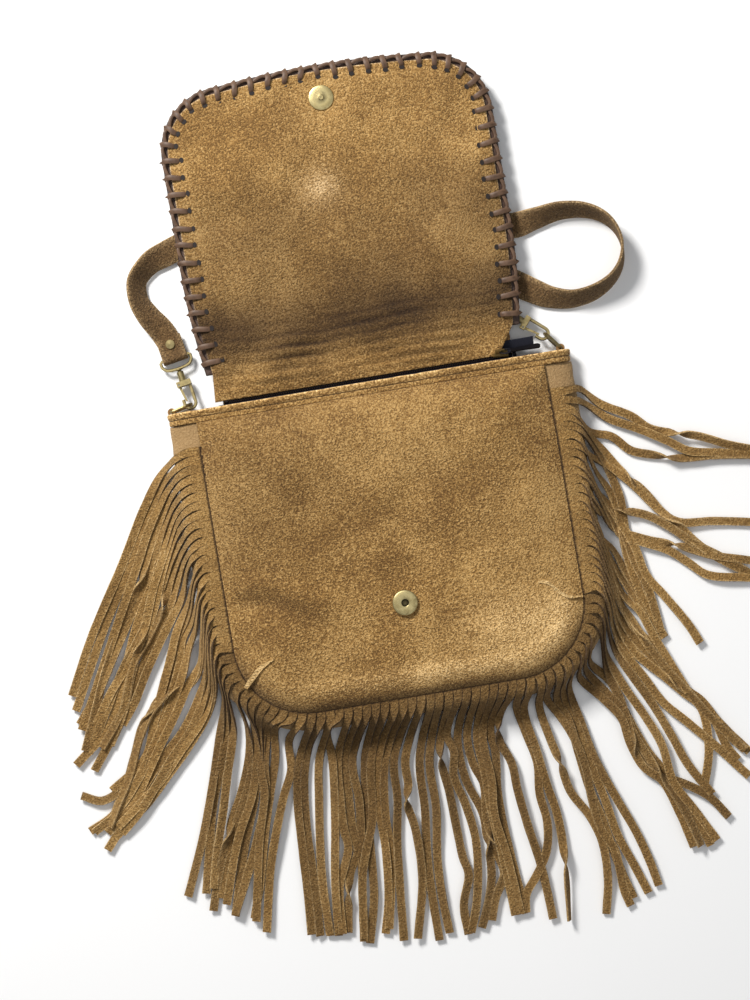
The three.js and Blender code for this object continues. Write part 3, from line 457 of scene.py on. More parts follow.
def outside(x, y):
    """How far a point lies outside the seam's outline."""
    corner = HALF_WIDTH - CORNER_R
    if y < BOTTOM_Y + CORNER_R:
        return math.hypot(max(abs(x) - corner, 0), BOTTOM_Y + CORNER_R - y) - CORNER_R
    return abs(x) - HALF_WIDTH


def ripple(place, size, seed=0.0):
    """A smooth wave of about -1 to 1 with bumps of this size."""
    return noise.noise(Vector((place[0] / size, place[1] / size, seed))) * 1.6


def neck_top(y):
    return mix(SUEDE, FLAP_Z + SUEDE, smooth(MOUTH_Y + 1, HINGE_Y, y))


def back_panel():
    build = Build()
    outline = [seam(SEAM_LENGTH * i / 220)[:2] for i in range(221)]
    outline += [(x, MOUTH_Y) for x in (100, 60, 20, -20, -60, -100)]
    rings = []
    for scale, z in ((0.02, 0.05), (0.5, 0.05), (0.97, 0.05), (0.995, 0.3), (1, 1), (0.995, 1.8),
                     (0.97, 2), (0.5, 2), (0.02, 2)):
        rings.append([Vector((x * scale, y * scale, z)) for x, y in outline])
    build.skin(rings, [0] * len(outline))
    neck = []
    top = [(y, neck_top(y)) for y in (MOUTH_Y - 6 + 3.2 * j for j in range(10))]
    for i in range(41):
        x = mix(-NECK_HALF, NECK_HALF, i / 40)
        loop = [Vector((x, min(y, HINGE_Y - 0.3), z - 0.1)) for y, z in top]
        loop += [Vector((x, min(y, HINGE_Y - 0.3), z - 1.9)) for y, z in reversed(top)]
        neck.append(loop)
    build.skin(neck)
    panel = build.piece("back_panel_suede", SUEDE_DARK, "root")
    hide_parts("back_panel")


def gusset_line(top, bulge, steps=16):
    low, high = SUEDE + 0.3 + 1, top - SUEDE - 0.3 - 1
    wall = []
    for i in range(steps + 1):
        turn = math.pi * i / steps
        wall.append((bulge * math.sin(turn), mix(low, high, (1 - math.cos(turn)) / 2)))
    return [(-4, low), *wall, (-4, high)]


def strip_loop(line, thickness):
    """A closed loop of even thickness round an open line of points."""
    sides = []
    for i, (x, y) in enumerate(line):
        (bx, by), (ax, ay) = neighbours(line, i)
        size = math.hypot(ax - bx, ay - by)
        sides.append((-(ay - by) / size * thickness / 2, (ax - bx) / size * thickness / 2))
    left = [(x + a, y + b) for (x, y), (a, b) in zip(line, sides)]
    right = [(x - a, y - b) for (x, y), (a, b) in zip(line, sides)]
    return left + right[::-1]


def gusset():
    build = Build()
    rings = []
    from_top = BAND_DEPTH + 0.3
    steps = 260
    for i in range(steps + 1):
        stop = mix(from_top, SEAM_LENGTH - from_top, i / steps)
        _, y, _ = seam(stop)
        bulge = mix(BULGE, BOTTOM_BULGE, smooth(60, -BOTTOM_Y, -y))
        slack = 1 + 0.035 * ripple((stop, 0), 23, 4) + 0.02 * ripple((stop, 9), 9, 7)
        ring = []
        for offset, z in strip_loop(gusset_line(seam_height(y), bulge), SUEDE):
            px, py, _ = seam(stop, offset * (slack if offset > 3 else 1))
            ring.append(Vector((px, py, z)))
        rings.append(ring)
    build.skin(rings)
    strip = build.piece("gusset_suede", GUSSET_SUEDE, "root")
    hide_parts("gusset")


SUEDE_DARK = suede("suede_dark", (142, 106, 64), (112, 82, 46), (170, 132, 86), (176, 146, 104), contrast=0.8)
GUSSET_SUEDE = suede("gusset_suede", (150, 121, 82), (126, 98, 62), (170, 140, 100), (186, 156, 112),
                     grain=0.5, contrast=0.5)
back_panel()
gusset()


# ------------------------------------------------------------------ front panel
# One panel of camel suede, domed over what the bag holds, its edge turned down into the seam. It is
# paler along the bottom roll and low on the right, and a soft crease crosses it low on the left.
# Painted shade darkens the crease, the turned edge, the bottom edge, the top and the left.
PRESSED = [(-12, -68, 20, 8), (2, -66, -25, 9), (16, -63, 25, 9), (29, -60, -20, 9), (42, -56, 30, 9),
           (54, -52, -15, 9), (66, -49, 25, 8), (77, -45, -30, 8), (-26, -72, -20, 8), (-40, -74, 20, 7),
           (-54, -77, -20, 7), (88, -40, 15, 7)]


def panel_height(x, y, scale):
    """Height of the panel's face: the dome, its slack, the crease and the pressed marks."""
    low = smooth(-62, -98, y / max(scale, 0.1))
    z = mix(seam_height(y), CROWN_Z - 0.3, 1 - scale ** mix(5.5, 13, low))
    z += 0.9 * low * math.exp(-((outside(x, y) + 15) / 6) ** 2)
    inner = 1 - scale ** 6
    z += inner * (1.5 * ripple((x, y), 60, 1) + 0.9 * ripple((x, y), 26, 2) + 0.1 * ripple((x, y), 7, 3))
    z -= 0.5 * inner
    along, across = crease_at(x, y)
    z -= 2.2 * math.exp(-(across / 7) ** 2) * smooth(0, 12, along) * smooth(78, 50, along)
    z += 1.2 * math.exp(-((across - 12) / 7) ** 2) * smooth(0, 16, along) * smooth(78, 50, along)
    for px, py, turn, size in PRESSED:
        z -= 0.32 * leaf(x - px, y - py, turn, size)
    calm = math.exp(-((x ** 2 + (y + 45) ** 2) / 15 ** 2))
    return mix(z, CROWN_Z - 0.3, calm)


def crease_at(x, y):
    """Distance along and across the crease that runs from the left seam towards the snap."""
    dx, dy = x + 122, y + 27
    along = dx * 0.963 - dy * 0.270
    across = dx * 0.270 + dy * 0.963
    return along, across - 5 * math.sin(along * 0.06)


def leaf(dx, dy, turn, size):
    """1 on a leaf-shaped pressed mark, fading to 0 round it."""
    angle = math.radians(turn)
    u = (dx * math.cos(angle) + dy * math.sin(angle)) / size
    v = (-dx * math.sin(angle) + dy * math.cos(angle)) / size
    if abs(u) > 1.2 or abs(v) > 1.2:
        return 0
    return smooth(0.12, 0, abs(abs(v) - 0.42 * (1 - u * u))) * smooth(1.05, 0.8, abs(u))


def front_panel():
    build = Build()
    top_y = MOUTH_Y - BAND_DEPTH - 0.3
    from_top = MOUTH_Y - top_y
    edge = [seam(mix(from_top, SEAM_LENGTH - from_top, i / 300))[:2] for i in range(301)]
    edge += [(mix(HALF_WIDTH, -HALF_WIDTH, i / 110), top_y) for i in range(1, 110)]
    scales = [0.015, 0.05, *[0.05 + 0.9 * (i / 52) for i in range(1, 53)], 0.962, 0.974, 0.985, 0.993, 0.998]
    rings, edges, darks = [], [], []
    for scale in scales:
        ring, pale, dark = [], [], []
        for x, y in edge:
            px, py = x * scale, y * scale
            z = panel_height(px, py, scale)
            ring.append(Vector((px, py, z)))
            along, across = crease_at(px, py)
            # painted shade: in the crease, along the bottom edge, towards the top, on the upper left and low on
            # the left; the pressed marks are darker in their own right
            shade = 0.2 * math.exp(-(across / 7) ** 2) * smooth(0, 14, along) * smooth(80, 50, along)
            marks = max(leaf(px - a, py - b, c, d) for a, b, c, d in PRESSED)
            shade += 0.2 * marks
            depth = -outside(px, py)
            low = smooth(-50, -90, y)
            shade += 0.5 * low * smooth(9, 1, depth) + 0.14 * smooth(-20, -90, px) * smooth(-30, -70, py)
            shade += 0.14 * smooth(-50, 40, py) + 0.16 * smooth(20, -90, px) * smooth(-60, 20, py)
            # paler along the bottom roll and in a patch low on the right
            lighter_tone = 0.42 * low * math.exp(-((depth - 15) / 7) ** 2) * smooth(-112, 20, px)
            lighter_tone += 0.36 * math.exp(-((px - 78) / 34) ** 2 - ((py + 72) / 17) ** 2)
            pale.append(min(lighter_tone, 0.85))
            dark.append(min(max(shade - lighter_tone, 0), 1))
        rings.append(ring)
        edges.append(pale)
        darks.append(dark)
    # the turned edge: over, down and back under into the seam, darkened with painted shade, less along the top
    for out, drop, shade in ((0.15, 0.5, 0.5), (0.3, 1.2, 0.8), (0.2, 1.9, 0.95), (-0.6, 2.4, 1.0),
                             (-4, 2.6, 1.0)):
        ring = []
        for x, y in edge:
            size = math.hypot(x, y)
            ring.append(Vector((x + x / size * out, y + y / size * out, seam_height(y) - drop)))
        rings.append(ring)
        edges.append([0.0] * len(edge))
        darks.append([shade * (0.25 if y > top_y - 0.5 else 1) for _, y in edge])
    build.skin(rings, edges, darks, caps=False)
    build.faces.append(tuple(range(len(edge) - 1, -1, -1)))
    panel = build.piece("front_panel_suede", PANEL_SUEDE, "root", sharp=80)
    solid = panel.modifiers.new("two plies", "SOLIDIFY")
    solid.thickness = 0.0016
    solid.offset = 1
    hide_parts("front_panel")


PANEL_SUEDE = suede("suede_tan", (152, 115, 62), (108, 76, 36), (194, 156, 98), (220, 178, 114), contrast=1.1)
front_panel()


# ------------------------------------------------------------------ mouth band
# A narrow strip of the same suede folded over the raw edges of the front and both gusset ends, with
# a row of stitches along its lower edge, a pale line along its fold, and painted shade under its
# lower edge and on its back.
def mouth_band():
    build = Build()
    side = gusset_line(MOUTH_Z, BULGE)[:-1]
    front = MOUTH_Z - SUEDE / 2
    left = [(-HALF_WIDTH - offset, mix(z, front, smooth(8, 15, z))) for offset, z in side]
    span = 150
    top = [(mix(-HALF_WIDTH, HALF_WIDTH, i / span), front) for i in range(1, span)]
    line = left + top + [(-x, z) for x, z in reversed(left)]
    rings, edges, darks = [], [], []
    start = MOUTH_Y - BAND_DEPTH
    # each row: y, how far out, pale mark, dark mark; the dark at the stitch groove is the stitches, the dark at
    # the lower edge and on the back is painted shade
    profile = [(start + 0.25, -0.6, 0, 0.5), (start, 0, 0.1, 0.3), (start + 0.3, 0.45, 0.1, 0.1),
               (start + 0.9, 0.6, 0, 0),
               (MOUTH_Y - 3.4, 0.65, 0, 0.1), (MOUTH_Y - 2.8, 0.25, 0, 0.95), (MOUTH_Y - 2.2, 0.75, 0.2, 0.1),
               (MOUTH_Y - 1, 1.2, 0, 0), (MOUTH_Y + 0.8, 1.35, 0.2, 0), (MOUTH_Y + 1.7, 1.15, 0.8, 0),
               (MOUTH_Y + 2.1, 0.5, 0.6, 0), (MOUTH_Y + 2.2, -0.3, 0.4, 0.1), (MOUTH_Y + 1.6, -1, 0.1, 0.4)]
    normals = []
    for i in range(len(line)):
        (bx, bz), (ax, az) = neighbours(line, i)
        size = math.hypot(ax - bx, az - bz)
        normals.append((-(az - bz) / size, (ax - bx) / size))
    for (x, z), (nx, nz) in zip(line, normals):
        wave = 0.12 * ripple((x, z), 9, 5)
        ring = [Vector((x + nx * out, y + wave, z + nz * out)) for y, out, _, _ in profile]
        ring.append(Vector((x - nx * 1.0, start + 0.6, z - nz * 1.0)))
        rings.append(ring)
        edges.append([e for _, _, e, _ in profile] + [0])
        darks.append([d for _, _, _, d in profile] + [0.3])
    build.skin(rings, edges, darks)
    band = build.piece("mouth_band_suede", PANEL_SUEDE, "root", sharp=60)
    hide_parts("mouth_band")


mouth_band()


# ------------------------------------------------------------------ fringe
# Strips of camel suede sewn in along the seam, cut by hand into strands about 6 mm wide and 18 cm
# long that roll over the gusset and lie on the table, bundled, crossed and here and there twisted.
# Each route is the (x, y) points that one strand passes on its way from the seam to its tip.
LEFT_ROUTES = [
    [[-154,73],[-171,51],[-193,14],[-224,-35],[-244,-73]],
    [[-154,66],[-171,42],[-187,13],[-211,-25],[-243,-84]],
    [[-152,60],[-170,36],[-183,11],[-209,-38],[-241,-98]],
    [[-150,55],[-166,33],[-182,1],[-213,-50],[-241,-113]],
    [[-149,49],[-161,33],[-176,4],[-199,-32],[-224,-72],[-242,-94]],
    [[-149,42],[-161,24],[-171,3],[-190,-30],[-205,-64],[-221,-98],[-249,-122]],
    [[-149,36],[-160,20],[-173,-4],[-184,-31],[-200,-65],[-212,-94],[-237,-128]],
    [[-149,30],[-164,8],[-178,-25],[-197,-53],[-216,-75],[-240,-111]],
    [[-148,23],[-160,9],[-171,-11],[-185,-33],[-205,-60],[-222,-88],[-239,-115]],
    [[-147,17],[-159,1],[-169,-19],[-183,-40],[-197,-58],[-208,-85],[-229,-113]],
    [[-147,10],[-157,-6],[-166,-23],[-182,-46],[-195,-67],[-207,-87],[-223,-112]],
    [[-147,3],[-155,-16],[-165,-30],[-177,-47],[-189,-65],[-201,-85],[-212,-99]],
    [[-144,-5],[-152,-22],[-163,-40],[-171,-59],[-180,-79],[-189,-100],[-200,-125],[-227,-144]],
    [[-143,-12],[-152,-29],[-164,-45],[-170,-63],[-174,-78],[-185,-87],[-198,-102],[-208,-124],
     [-218,-142],[-235,-150],[-249,-144]],
    [[-141,-18],[-150,-33],[-160,-46],[-165,-63],[-175,-85],[-188,-109],[-202,-137],[-222,-158],
     [-244,-171]],
    [[-140,-25],[-150,-42],[-157,-54],[-164,-71],[-176,-92],[-191,-115],[-208,-140],[-230,-162],
     [-247,-170]],
    [[-138,-30],[-145,-45],[-151,-66],[-162,-80],[-173,-97],[-190,-121],[-203,-141],[-219,-164],
     [-237,-185]],
    [[-136,-36],[-143,-51],[-148,-64],[-161,-79],[-176,-83],[-189,-92],[-202,-112],[-213,-136],
     [-223,-152],[-233,-169]],
    [[-134,-42],[-142,-56],[-148,-73],[-156,-90],[-170,-110],[-188,-127],[-205,-146],[-223,-163],
     [-235,-173]],
    [[-140,-62],[-145,-76],[-154,-94],[-165,-111],[-181,-128],[-196,-146],[-210,-162],[-225,-175]],
    [[-138,-64],[-144,-81],[-152,-96],[-167,-114],[-190,-139],[-214,-165],[-230,-177]],
    [[-136,-64],[-144,-85],[-156,-105],[-174,-124],[-192,-143],[-211,-158],[-227,-170]],
    [[-142,-85],[-153,-104],[-169,-123],[-186,-140],[-206,-159],[-218,-166]],
]
BOTTOM_ROUTES = [
    [[-138,-93],[-148,-127],[-159,-161],[-169,-188],[-186,-227]],
    [[-127,-65],[-136,-94],[-144,-128],[-158,-166],[-164,-189],[-173,-227]],
    [[-126,-69],[-133,-94],[-135,-115],[-145,-149],[-151,-170],[-162,-204],[-167,-224]],
    [[-121,-75],[-124,-96],[-125,-115],[-126,-132],[-136,-159],[-148,-182],[-163,-218],[-170,-240]],
    [[-118,-76],[-121,-100],[-120,-122],[-129,-152],[-142,-178],[-155,-205],[-163,-232]],
    [[-113,-79],[-117,-104],[-121,-133],[-129,-163],[-144,-192],[-160,-237]],
    [[-111,-86],[-115,-111],[-120,-139],[-129,-169],[-141,-200],[-155,-246]],
    [[-107,-90],[-111,-112],[-120,-146],[-120,-162],[-129,-195],[-141,-252]],
    [[-102,-93],[-108,-115],[-117,-145],[-119,-162],[-131,-195],[-143,-221],[-155,-245]],
    [[-98,-96],[-104,-117],[-109,-141],[-116,-163],[-124,-189],[-133,-223],[-142,-250]],
    [[-93,-99],[-97,-129],[-99,-150],[-107,-167],[-116,-190],[-125,-217],[-135,-261]],
    [[-86,-103],[-92,-144],[-98,-171],[-100,-200],[-102,-242],[-104,-268]],
    [[-81,-104],[-85,-138],[-91,-158],[-95,-193],[-96,-229],[-98,-270]],
    [[-75,-106],[-78,-146],[-83,-174],[-87,-202],[-90,-230],[-91,-271]],
    [[-68,-108],[-69,-126],[-69,-148],[-74,-190],[-81,-232],[-85,-272]],
    [[-63,-109],[-65,-148],[-68,-176],[-69,-198],[-68,-211],[-79,-239],[-82,-271]],
    [[-57,-110],[-60,-149],[-62,-177],[-63,-199],[-62,-215],[-70,-230],[-78,-271]],
    [[-50,-111],[-55,-150],[-55,-178],[-58,-207],[-64,-249],[-68,-279]],
    [[-45,-112],[-46,-151],[-51,-193],[-54,-233],[-56,-250],[-64,-281]],
    [[-39,-113],[-42,-152],[-48,-194],[-57,-218],[-62,-235],[-67,-277]],
    [[-32,-113],[-37,-153],[-42,-188],[-42,-216],[-46,-252],[-52,-276]],
    [[-26,-113],[-32,-154],[-38,-189],[-39,-217],[-43,-245],[-49,-273]],
    [[-19,-114],[-26,-155],[-28,-182],[-33,-211],[-36,-239],[-40,-283]],
    [[-13,-114],[-18,-156],[-19,-175],[-22,-184],[-19,-206],[-20,-242],[-30,-283]],
    [[-7,-113],[-8,-158],[-10,-193],[-14,-228],[-15,-257],[-15,-287]],
    [[-1,-113],[-1,-159],[-2,-194],[-7,-229],[-8,-255],[-7,-283]],
    [[6,-113],[7,-155],[9,-183],[10,-211],[11,-232],[13,-244],[6,-265],[6,-286]],
    [[12,-112],[14,-144],[17,-156],[14,-173],[19,-195],[22,-220],[19,-248],[14,-269],[8,-285]],
    [[18,-112],[21,-148],[22,-177],[30,-203],[30,-221],[29,-247],[22,-270],[16,-283]],
    [[25,-112],[28,-147],[29,-167],[34,-182],[32,-207],[34,-229],[38,-247],[29,-264],[24,-279]],
    [[31,-111],[35,-148],[36,-172],[36,-196],[38,-225],[40,-256],[41,-278]],
    [[38,-111],[39,-148],[40,-180],[38,-205],[42,-235],[44,-259],[45,-278]],
    [[44,-111],[45,-145],[46,-161],[43,-188],[43,-209],[45,-238],[47,-261],[49,-278]],
    [[51,-110],[52,-139],[50,-153],[56,-171],[57,-190],[60,-216],[64,-241],[66,-263],[67,-285]],
    [[57,-111],[66,-131],[69,-149],[74,-174],[72,-195],[74,-217],[70,-237],[61,-252],[51,-265],[49,-277]],
    [[64,-110],[71,-134],[75,-166],[78,-189],[82,-213],[82,-244],[78,-288]],
    [[70,-109],[82,-134],[85,-155],[90,-177],[94,-198],[104,-216],[110,-235],[110,-263],[105,-288]],
    [[77,-108],[88,-129],[95,-143],[102,-159],[107,-182],[108,-206],[111,-228],[118,-243],[120,-272],
     [123,-285]],
    [[83,-106],[95,-130],[101,-147],[104,-171],[108,-200],[112,-216],[116,-238],[121,-262],[126,-280]],
    [[90,-105],[100,-126],[106,-151],[111,-180],[117,-207],[122,-234],[130,-257],[137,-278]],
    [[96,-103],[105,-124],[109,-149],[115,-178],[125,-207],[135,-233],[141,-254],[145,-274]],
    [[99,-95],[113,-117],[128,-137],[138,-152],[141,-170],[148,-189],[159,-200],[168,-226],[174,-251]],
    [[103,-90],[118,-112],[130,-132],[140,-147],[145,-165],[154,-186],[163,-204],[173,-229],[179,-251]],
    [[107,-86],[122,-108],[135,-126],[142,-150],[152,-177],[161,-193],[169,-210],[180,-234],[186,-252]],
    [[109,-81],[126,-96],[134,-119],[140,-141],[143,-165],[148,-187],[157,-198],[170,-203],[190,-217],
     [202,-234]],
    [[112,-75],[129,-87],[135,-106],[143,-129],[154,-152],[163,-175],[167,-203],[178,-224],[191,-249]],
    [[114,-71],[131,-82],[141,-102],[150,-123],[161,-145],[171,-170],[179,-192],[193,-216]],
]
RIGHT_ROUTES = [
    [[115,-66],[134,-81],[146,-103],[158,-125],[169,-146],[184,-163],[202,-184],[221,-208]],
    [[117,-62],[134,-74],[145,-96],[160,-114],[178,-133],[196,-149],[205,-165],[224,-191]],
    [[119,-57],[134,-69],[148,-92],[157,-110],[172,-127],[184,-141],[195,-154],[196,-183],[187,-214]],
    [[121,-51],[137,-62],[148,-80],[156,-97],[169,-116],[182,-136],[200,-156],[209,-185],[215,-195]],
    [[121,-47],[139,-57],[151,-75],[160,-93],[167,-109]],
    [[122,-42],[139,-50],[147,-64],[156,-83],[164,-102],[176,-124],[188,-142],[202,-164],[221,-189]],
    [[125,-37],[138,-44],[147,-55],[151,-73],[157,-89],[166,-102],[178,-123]],
    [[126,-31],[140,-39],[149,-51],[151,-70],[153,-79]],
    [[128,-25],[140,-30],[148,-49],[154,-67],[163,-79],[170,-98],[180,-123],[188,-142]],
    [[129,-19],[141,-25],[148,-37],[154,-54],[163,-73],[168,-89],[175,-113]],
    [[129,-14],[143,-22],[152,-34],[158,-51],[165,-67],[171,-84],[178,-101]],
    [[127,-8],[155,-18],[176,-30],[198,-38],[221,-49],[247,-57]],
    [[124,1],[144,-4],[165,-8],[179,-13],[193,-23],[209,-38],[228,-52],[245,-66]],
    [[127,9],[140,2],[153,-9],[159,-24],[174,-32],[190,-40],[203,-51],[215,-62],[245,-69]],
    [[125,21],[137,15],[151,2],[159,-14],[167,-33],[172,-55],[182,-71],[196,-95],[202,-109]],
    [[124,24],[136,21],[148,8],[158,-8],[162,-28],[165,-43],[172,-66],[176,-97]],
    [[126,38],[146,35],[158,26],[174,9],[187,-9],[200,-23],[209,-36],[224,-51],[245,-66]],
    [[127,43],[139,38],[149,22],[156,8],[160,-10],[160,-28],[162,-48],[167,-72],[173,-91]],
    [[140,47],[153,34],[160,15],[163,0],[163,-22],[168,-47],[173,-68]],
    [[140,56],[154,41],[165,23],[180,4],[193,-16],[202,-22],[225,-25],[251,-30],[259,-32]],
    [[141,63],[149,52],[164,46],[176,34],[189,29],[208,23],[233,21],[259,17],[285,13]],
    [[147,73],[164,59],[184,48],[203,36],[216,27],[233,23],[259,18],[286,13]],
    [[146,83],[160,70],[180,58],[192,47],[225,36],[244,27],[260,21],[283,12]],
]
STRAND_WIDE, STRAND_THICK = 5.9, 1.4
FRINGE_FROM, FRINGE_SPLIT = MOUTH_Y - 86, SIDE + 1
SIDE_DROP = [(0, 22.7), (6, 22.9), (10, 22.5), (15, 20.6), (19, 17.2), (22, 11.5), (25, 6), (29, 2.6),
             (34, 1.2)]
BOTTOM_DROP = [(0, 22.5), (4, 22.6), (8.5, 21.9), (12, 19.6), (15, 14.8), (18, 8.6), (21.5, 4), (26, 1.9),
               (32, 1.2)]


def table_at(rows, value):
    """A value read off rows of (at, value), straight between them."""
    for (a, za), (b, zb) in zip(rows, rows[1:]):
        if value <= b:
            return mix(za, zb, max(value - a, 0) / (b - a))
    return rows[-1][1]


def drop_at(y, away):
    """Height of the strands' run over the gusset and down to the table, this far outside the seam."""
    low = smooth(-60, -100, y)
    return mix(table_at(SIDE_DROP, away), table_at(BOTTOM_DROP, away), low)


def even_steps(points, step):
    """The same line with a point every step millimetres, its last one kept."""
    made, carried = [points[0]], 0.0
    for a, b in zip(points, points[1:]):
        size = (b - a).length
        at = step - carried
        while at <= size:
            made.append(a.lerp(b, at / size))
            at += step
        carried = (carried + size) % step
    return made + [points[-1]]


def strand(build, distance, pitch, route, heading, chance, twist=None, shadow=0.0):
    """One strand: flat and joined to its neighbours as far as its slit, then free to lie and turn."""
    x0, y0, angle = seam(distance, -1.2)
    ahead = Vector((math.cos(angle), math.sin(angle), 0))
    start = Vector((x0, y0, 0))
    route = list(route)
    while len(route) > 2 and (outside(*route[0]) < heading + 9 or
                              (Vector((*route[0], 0)) - start - ahead * (heading + 2)).dot(ahead) < 4):
        route.pop(0)
    control = [start, start + ahead * (heading + 3)] + [Vector((x, y, 0)) for x, y in route]
    line = even_steps(catmull(control, 12 * len(control)), 3.0)
    runs = [0, 1.5, 2.4] + [3.0 * i for i in range(1, len(line))]
    line = [line[0], line[0].lerp(line[1], 0.5), line[0].lerp(line[1], 0.8)] + line[1:]
    top = (seam_height(y0) - 0.7) / SIDE_DROP[0][1]
    layer, phase, lean = chance.random(), chance.random() * 6.28, chance.uniform(-1, 1)
    tone = 0.16 * chance.random() + 0.05
    half, thick = STRAND_WIDE / 2, STRAND_THICK / 2
    rings, edges, darks = [], [], []
    for i, place in enumerate(line):
        run = runs[i]
        before, after = neighbours(line, i)
        flat = (after - before).normalized()
        away = outside(place.x, place.y)
        free = smooth(heading, heading + 14, run)
        lying = smooth(20, 48, away)
        z = drop_at(place.y, away) * mix(top, 1, lying)
        z += lying * (2.6 * layer * math.sin(math.pi * min(run / 185, 1)) + 0.5)
        z += lying * 0.8 * (1 + math.sin(run / 15 + phase)) * (0.4 + 0.6 * layer)
        roll = free * (lean * 13 + 20 * noise.noise(Vector((run / 34, phase, 2))))
        room = min(max(flat.dot(ahead), 0.42), 1) * 1.04
        shingle = math.degrees(math.acos(min(room, 1)))
        toward = 1 if place.x < 0 else -1
        roll = mix(roll, (shingle + 9 * smooth(4, 20, shingle)) * toward, free * (1 - lying))
        if twist:
            roll += twist[1] * smooth(twist[0] - 13, twist[0] + 13, run)
        roll = math.radians(roll)
        side = Vector((-flat.y, flat.x, 0))
        rise = drop_at(after.y, outside(*after.xy)) - drop_at(before.y, outside(*before.xy))
        slope = rise / max((after - before).length, 0.1)
        along = Vector((flat.x, flat.y, slope)).normalized()
        wide = side * math.cos(roll) + Vector((0, 0, math.sin(roll)))
        normal = along.cross(wide).normalized()
        cut = smooth(heading - 1, heading + 3, run) * smooth(heading + 40, heading + 14, run)
        loose = half * (1 + 0.05 * noise.noise(Vector((run / 9, phase, 5))))
        w = mix(pitch / 2 + 0.02, loose, free) - mix(0.16, 0.42, smooth(-100, -70, y0)) * cut
        centre = place + Vector((0, 0, z + half * abs(math.sin(roll)) * 0.9 + 0.1))
        cup = 0.5 * free * noise.noise(Vector((run / 22, phase, 8)))
        section = [(-w, -thick), (-w * 0.5, -thick), (w * 0.5, -thick), (w, -thick), (w, thick),
                   (w - 0.5, thick), (w * 0.4, thick), (-w * 0.4, thick), (-w + 0.5, thick), (-w, thick)]
        ring = [centre + wide * a + normal * (b + cup * (1 - (a / w) ** 2)) for a, b in section]
        rings.append([Vector((p.x, p.y, max(p.z, 0.15))) for p in ring])
        rim = 0.75 * free
        edges.append([rim * 0.6, 0, 0, rim * 0.6, rim, 0.08 * free, 0, 0, 0.08 * free, rim])
        # tone is each strand's own darker tone; the rest is painted shade on lower layers, under the strands and
        # in the slits, and the painted shadow of the bag; root is the dark seam line
        shade = tone + 0.14 * lying * (1 - layer) + shadow * mix(1, 0.45, smooth(40, 150, run))
        root = smooth(3.0, 1.9, run)
        slit = smooth(heading - 3, heading, run) * smooth(heading + 60, heading + 20, run)
        under, rim_shade = min(shade + 0.15 + slit, 1), shade + slit * 0.7
        sides = [under, shade + 0.1, shade + 0.1, under, rim_shade, shade, shade, shade, shade, rim_shade]
        darks.append([max(value, root) for value in sides])
    build.skin(rings, edges, darks)


def fringe(name, node, first, last, routes, headings, twists, extras=(), shadow=0.0):
    """A row of strands between two distances along the seam, and the loose scraps left by the knife."""
    chance = random.Random(name)
    build = Build()
    pitch = (last - first) / len(routes)
    for i, route in enumerate(routes):
        distance = first + pitch * (i + 0.5)
        heading = headings(distance) + chance.uniform(-1, 1.4)
        strand(build, distance, pitch, route, heading, chance, twists.get(i), shadow)
    for line, width in extras:
        points = even_steps(catmull([Vector(p) for p in line], 30), 1.5)
        rings = []
        for i, place in enumerate(points):
            before, after = neighbours(points, i)
            along = (after - before).normalized()
            side = Vector((-along.y, along.x, 0)).normalized()
            w = width / 2 * (0.3 + 0.7 * math.sin(math.pi * min(0.15 + i / len(points), 1)) ** 0.5)
            section = ((-w, 0), (w, 0), (w, 1.1), (-w, 1.3))
            rings.append([place + side * a + Vector((0, 0, b)) for a, b in section])
        build.skin(rings, [0.3, 0.2, 0.45, 0.5])
    made = build.piece(name, FRINGE_SUEDE, "root", sharp=40)
    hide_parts(node)


FRINGE_SUEDE = suede("fringe_suede", (150, 114, 62), (110, 80, 40), (188, 152, 96), (226, 188, 126),
                     contrast=0.7)
fringe("fringe_left_strands", "fringe_left", FRINGE_FROM, FRINGE_SPLIT, LEFT_ROUTES, lambda d: 10,
       {3: (95, 150), 6: (120, 170), 9: (70, -160), 13: (128, 180), 17: (88, -150)})
# the bottom strands carry the painted shadow of the bag, strongest at their roots
fringe("fringe_bottom_strands", "fringe_bottom", FRINGE_SPLIT + 1, SEAM_LENGTH - FRINGE_SPLIT - 1,
       BOTTOM_ROUTES, lambda d: 3 + 6 * smooth(70, 150, abs(d - SEAM_LENGTH / 2)),
       {3: (118, 160), 16: (140, -170), 23: (78, 180), 26: (50, 170), 28: (120, 170), 29: (115, -180),
        33: (40, 180), 35: (135, 120), 36: (70, -170), 42: (120, 150), 44: (105, 170)},
       [([(-120, -86, 25.6), (-113, -79, 29), (-106, -73, 31), (-97, -69, 32)], 3.6)], 0.38)
fringe("fringe_right_strands", "fringe_right", SEAM_LENGTH - FRINGE_SPLIT, SEAM_LENGTH - FRINGE_FROM,
       RIGHT_ROUTES, lambda d: 10,
       {1: (110, 170), 5: (90, -150), 11: (95, 160), 12: (60, 180), 16: (105, -170), 19: (75, 175),
        20: (95, 150), 22: (100, -160)},
       [([(94, -45.5, 29.2), (101, -48, 29), (107, -55, 27.8), (114, -60, 27.2), (123.5, -61, 25.4)], 2.4)])


# ------------------------------------------------------------------ zip
# A metal zip across the mouth: a row of small dark teeth on each woven navy tape, a stop at either
# end, and a brass slider with a long pull.
ZIP_CENTRE = Vector((0, 114.6, 10.6))
ACROSS, OUT = Vector((0, 0.6198, -0.7848)), Vector((0, 0.7848, 0.6198))
ZIP_FROM_X, ZIP_TO_X, TOOTH_PITCH, TAPE_THICK = -99, 103, 1.7, 0.7


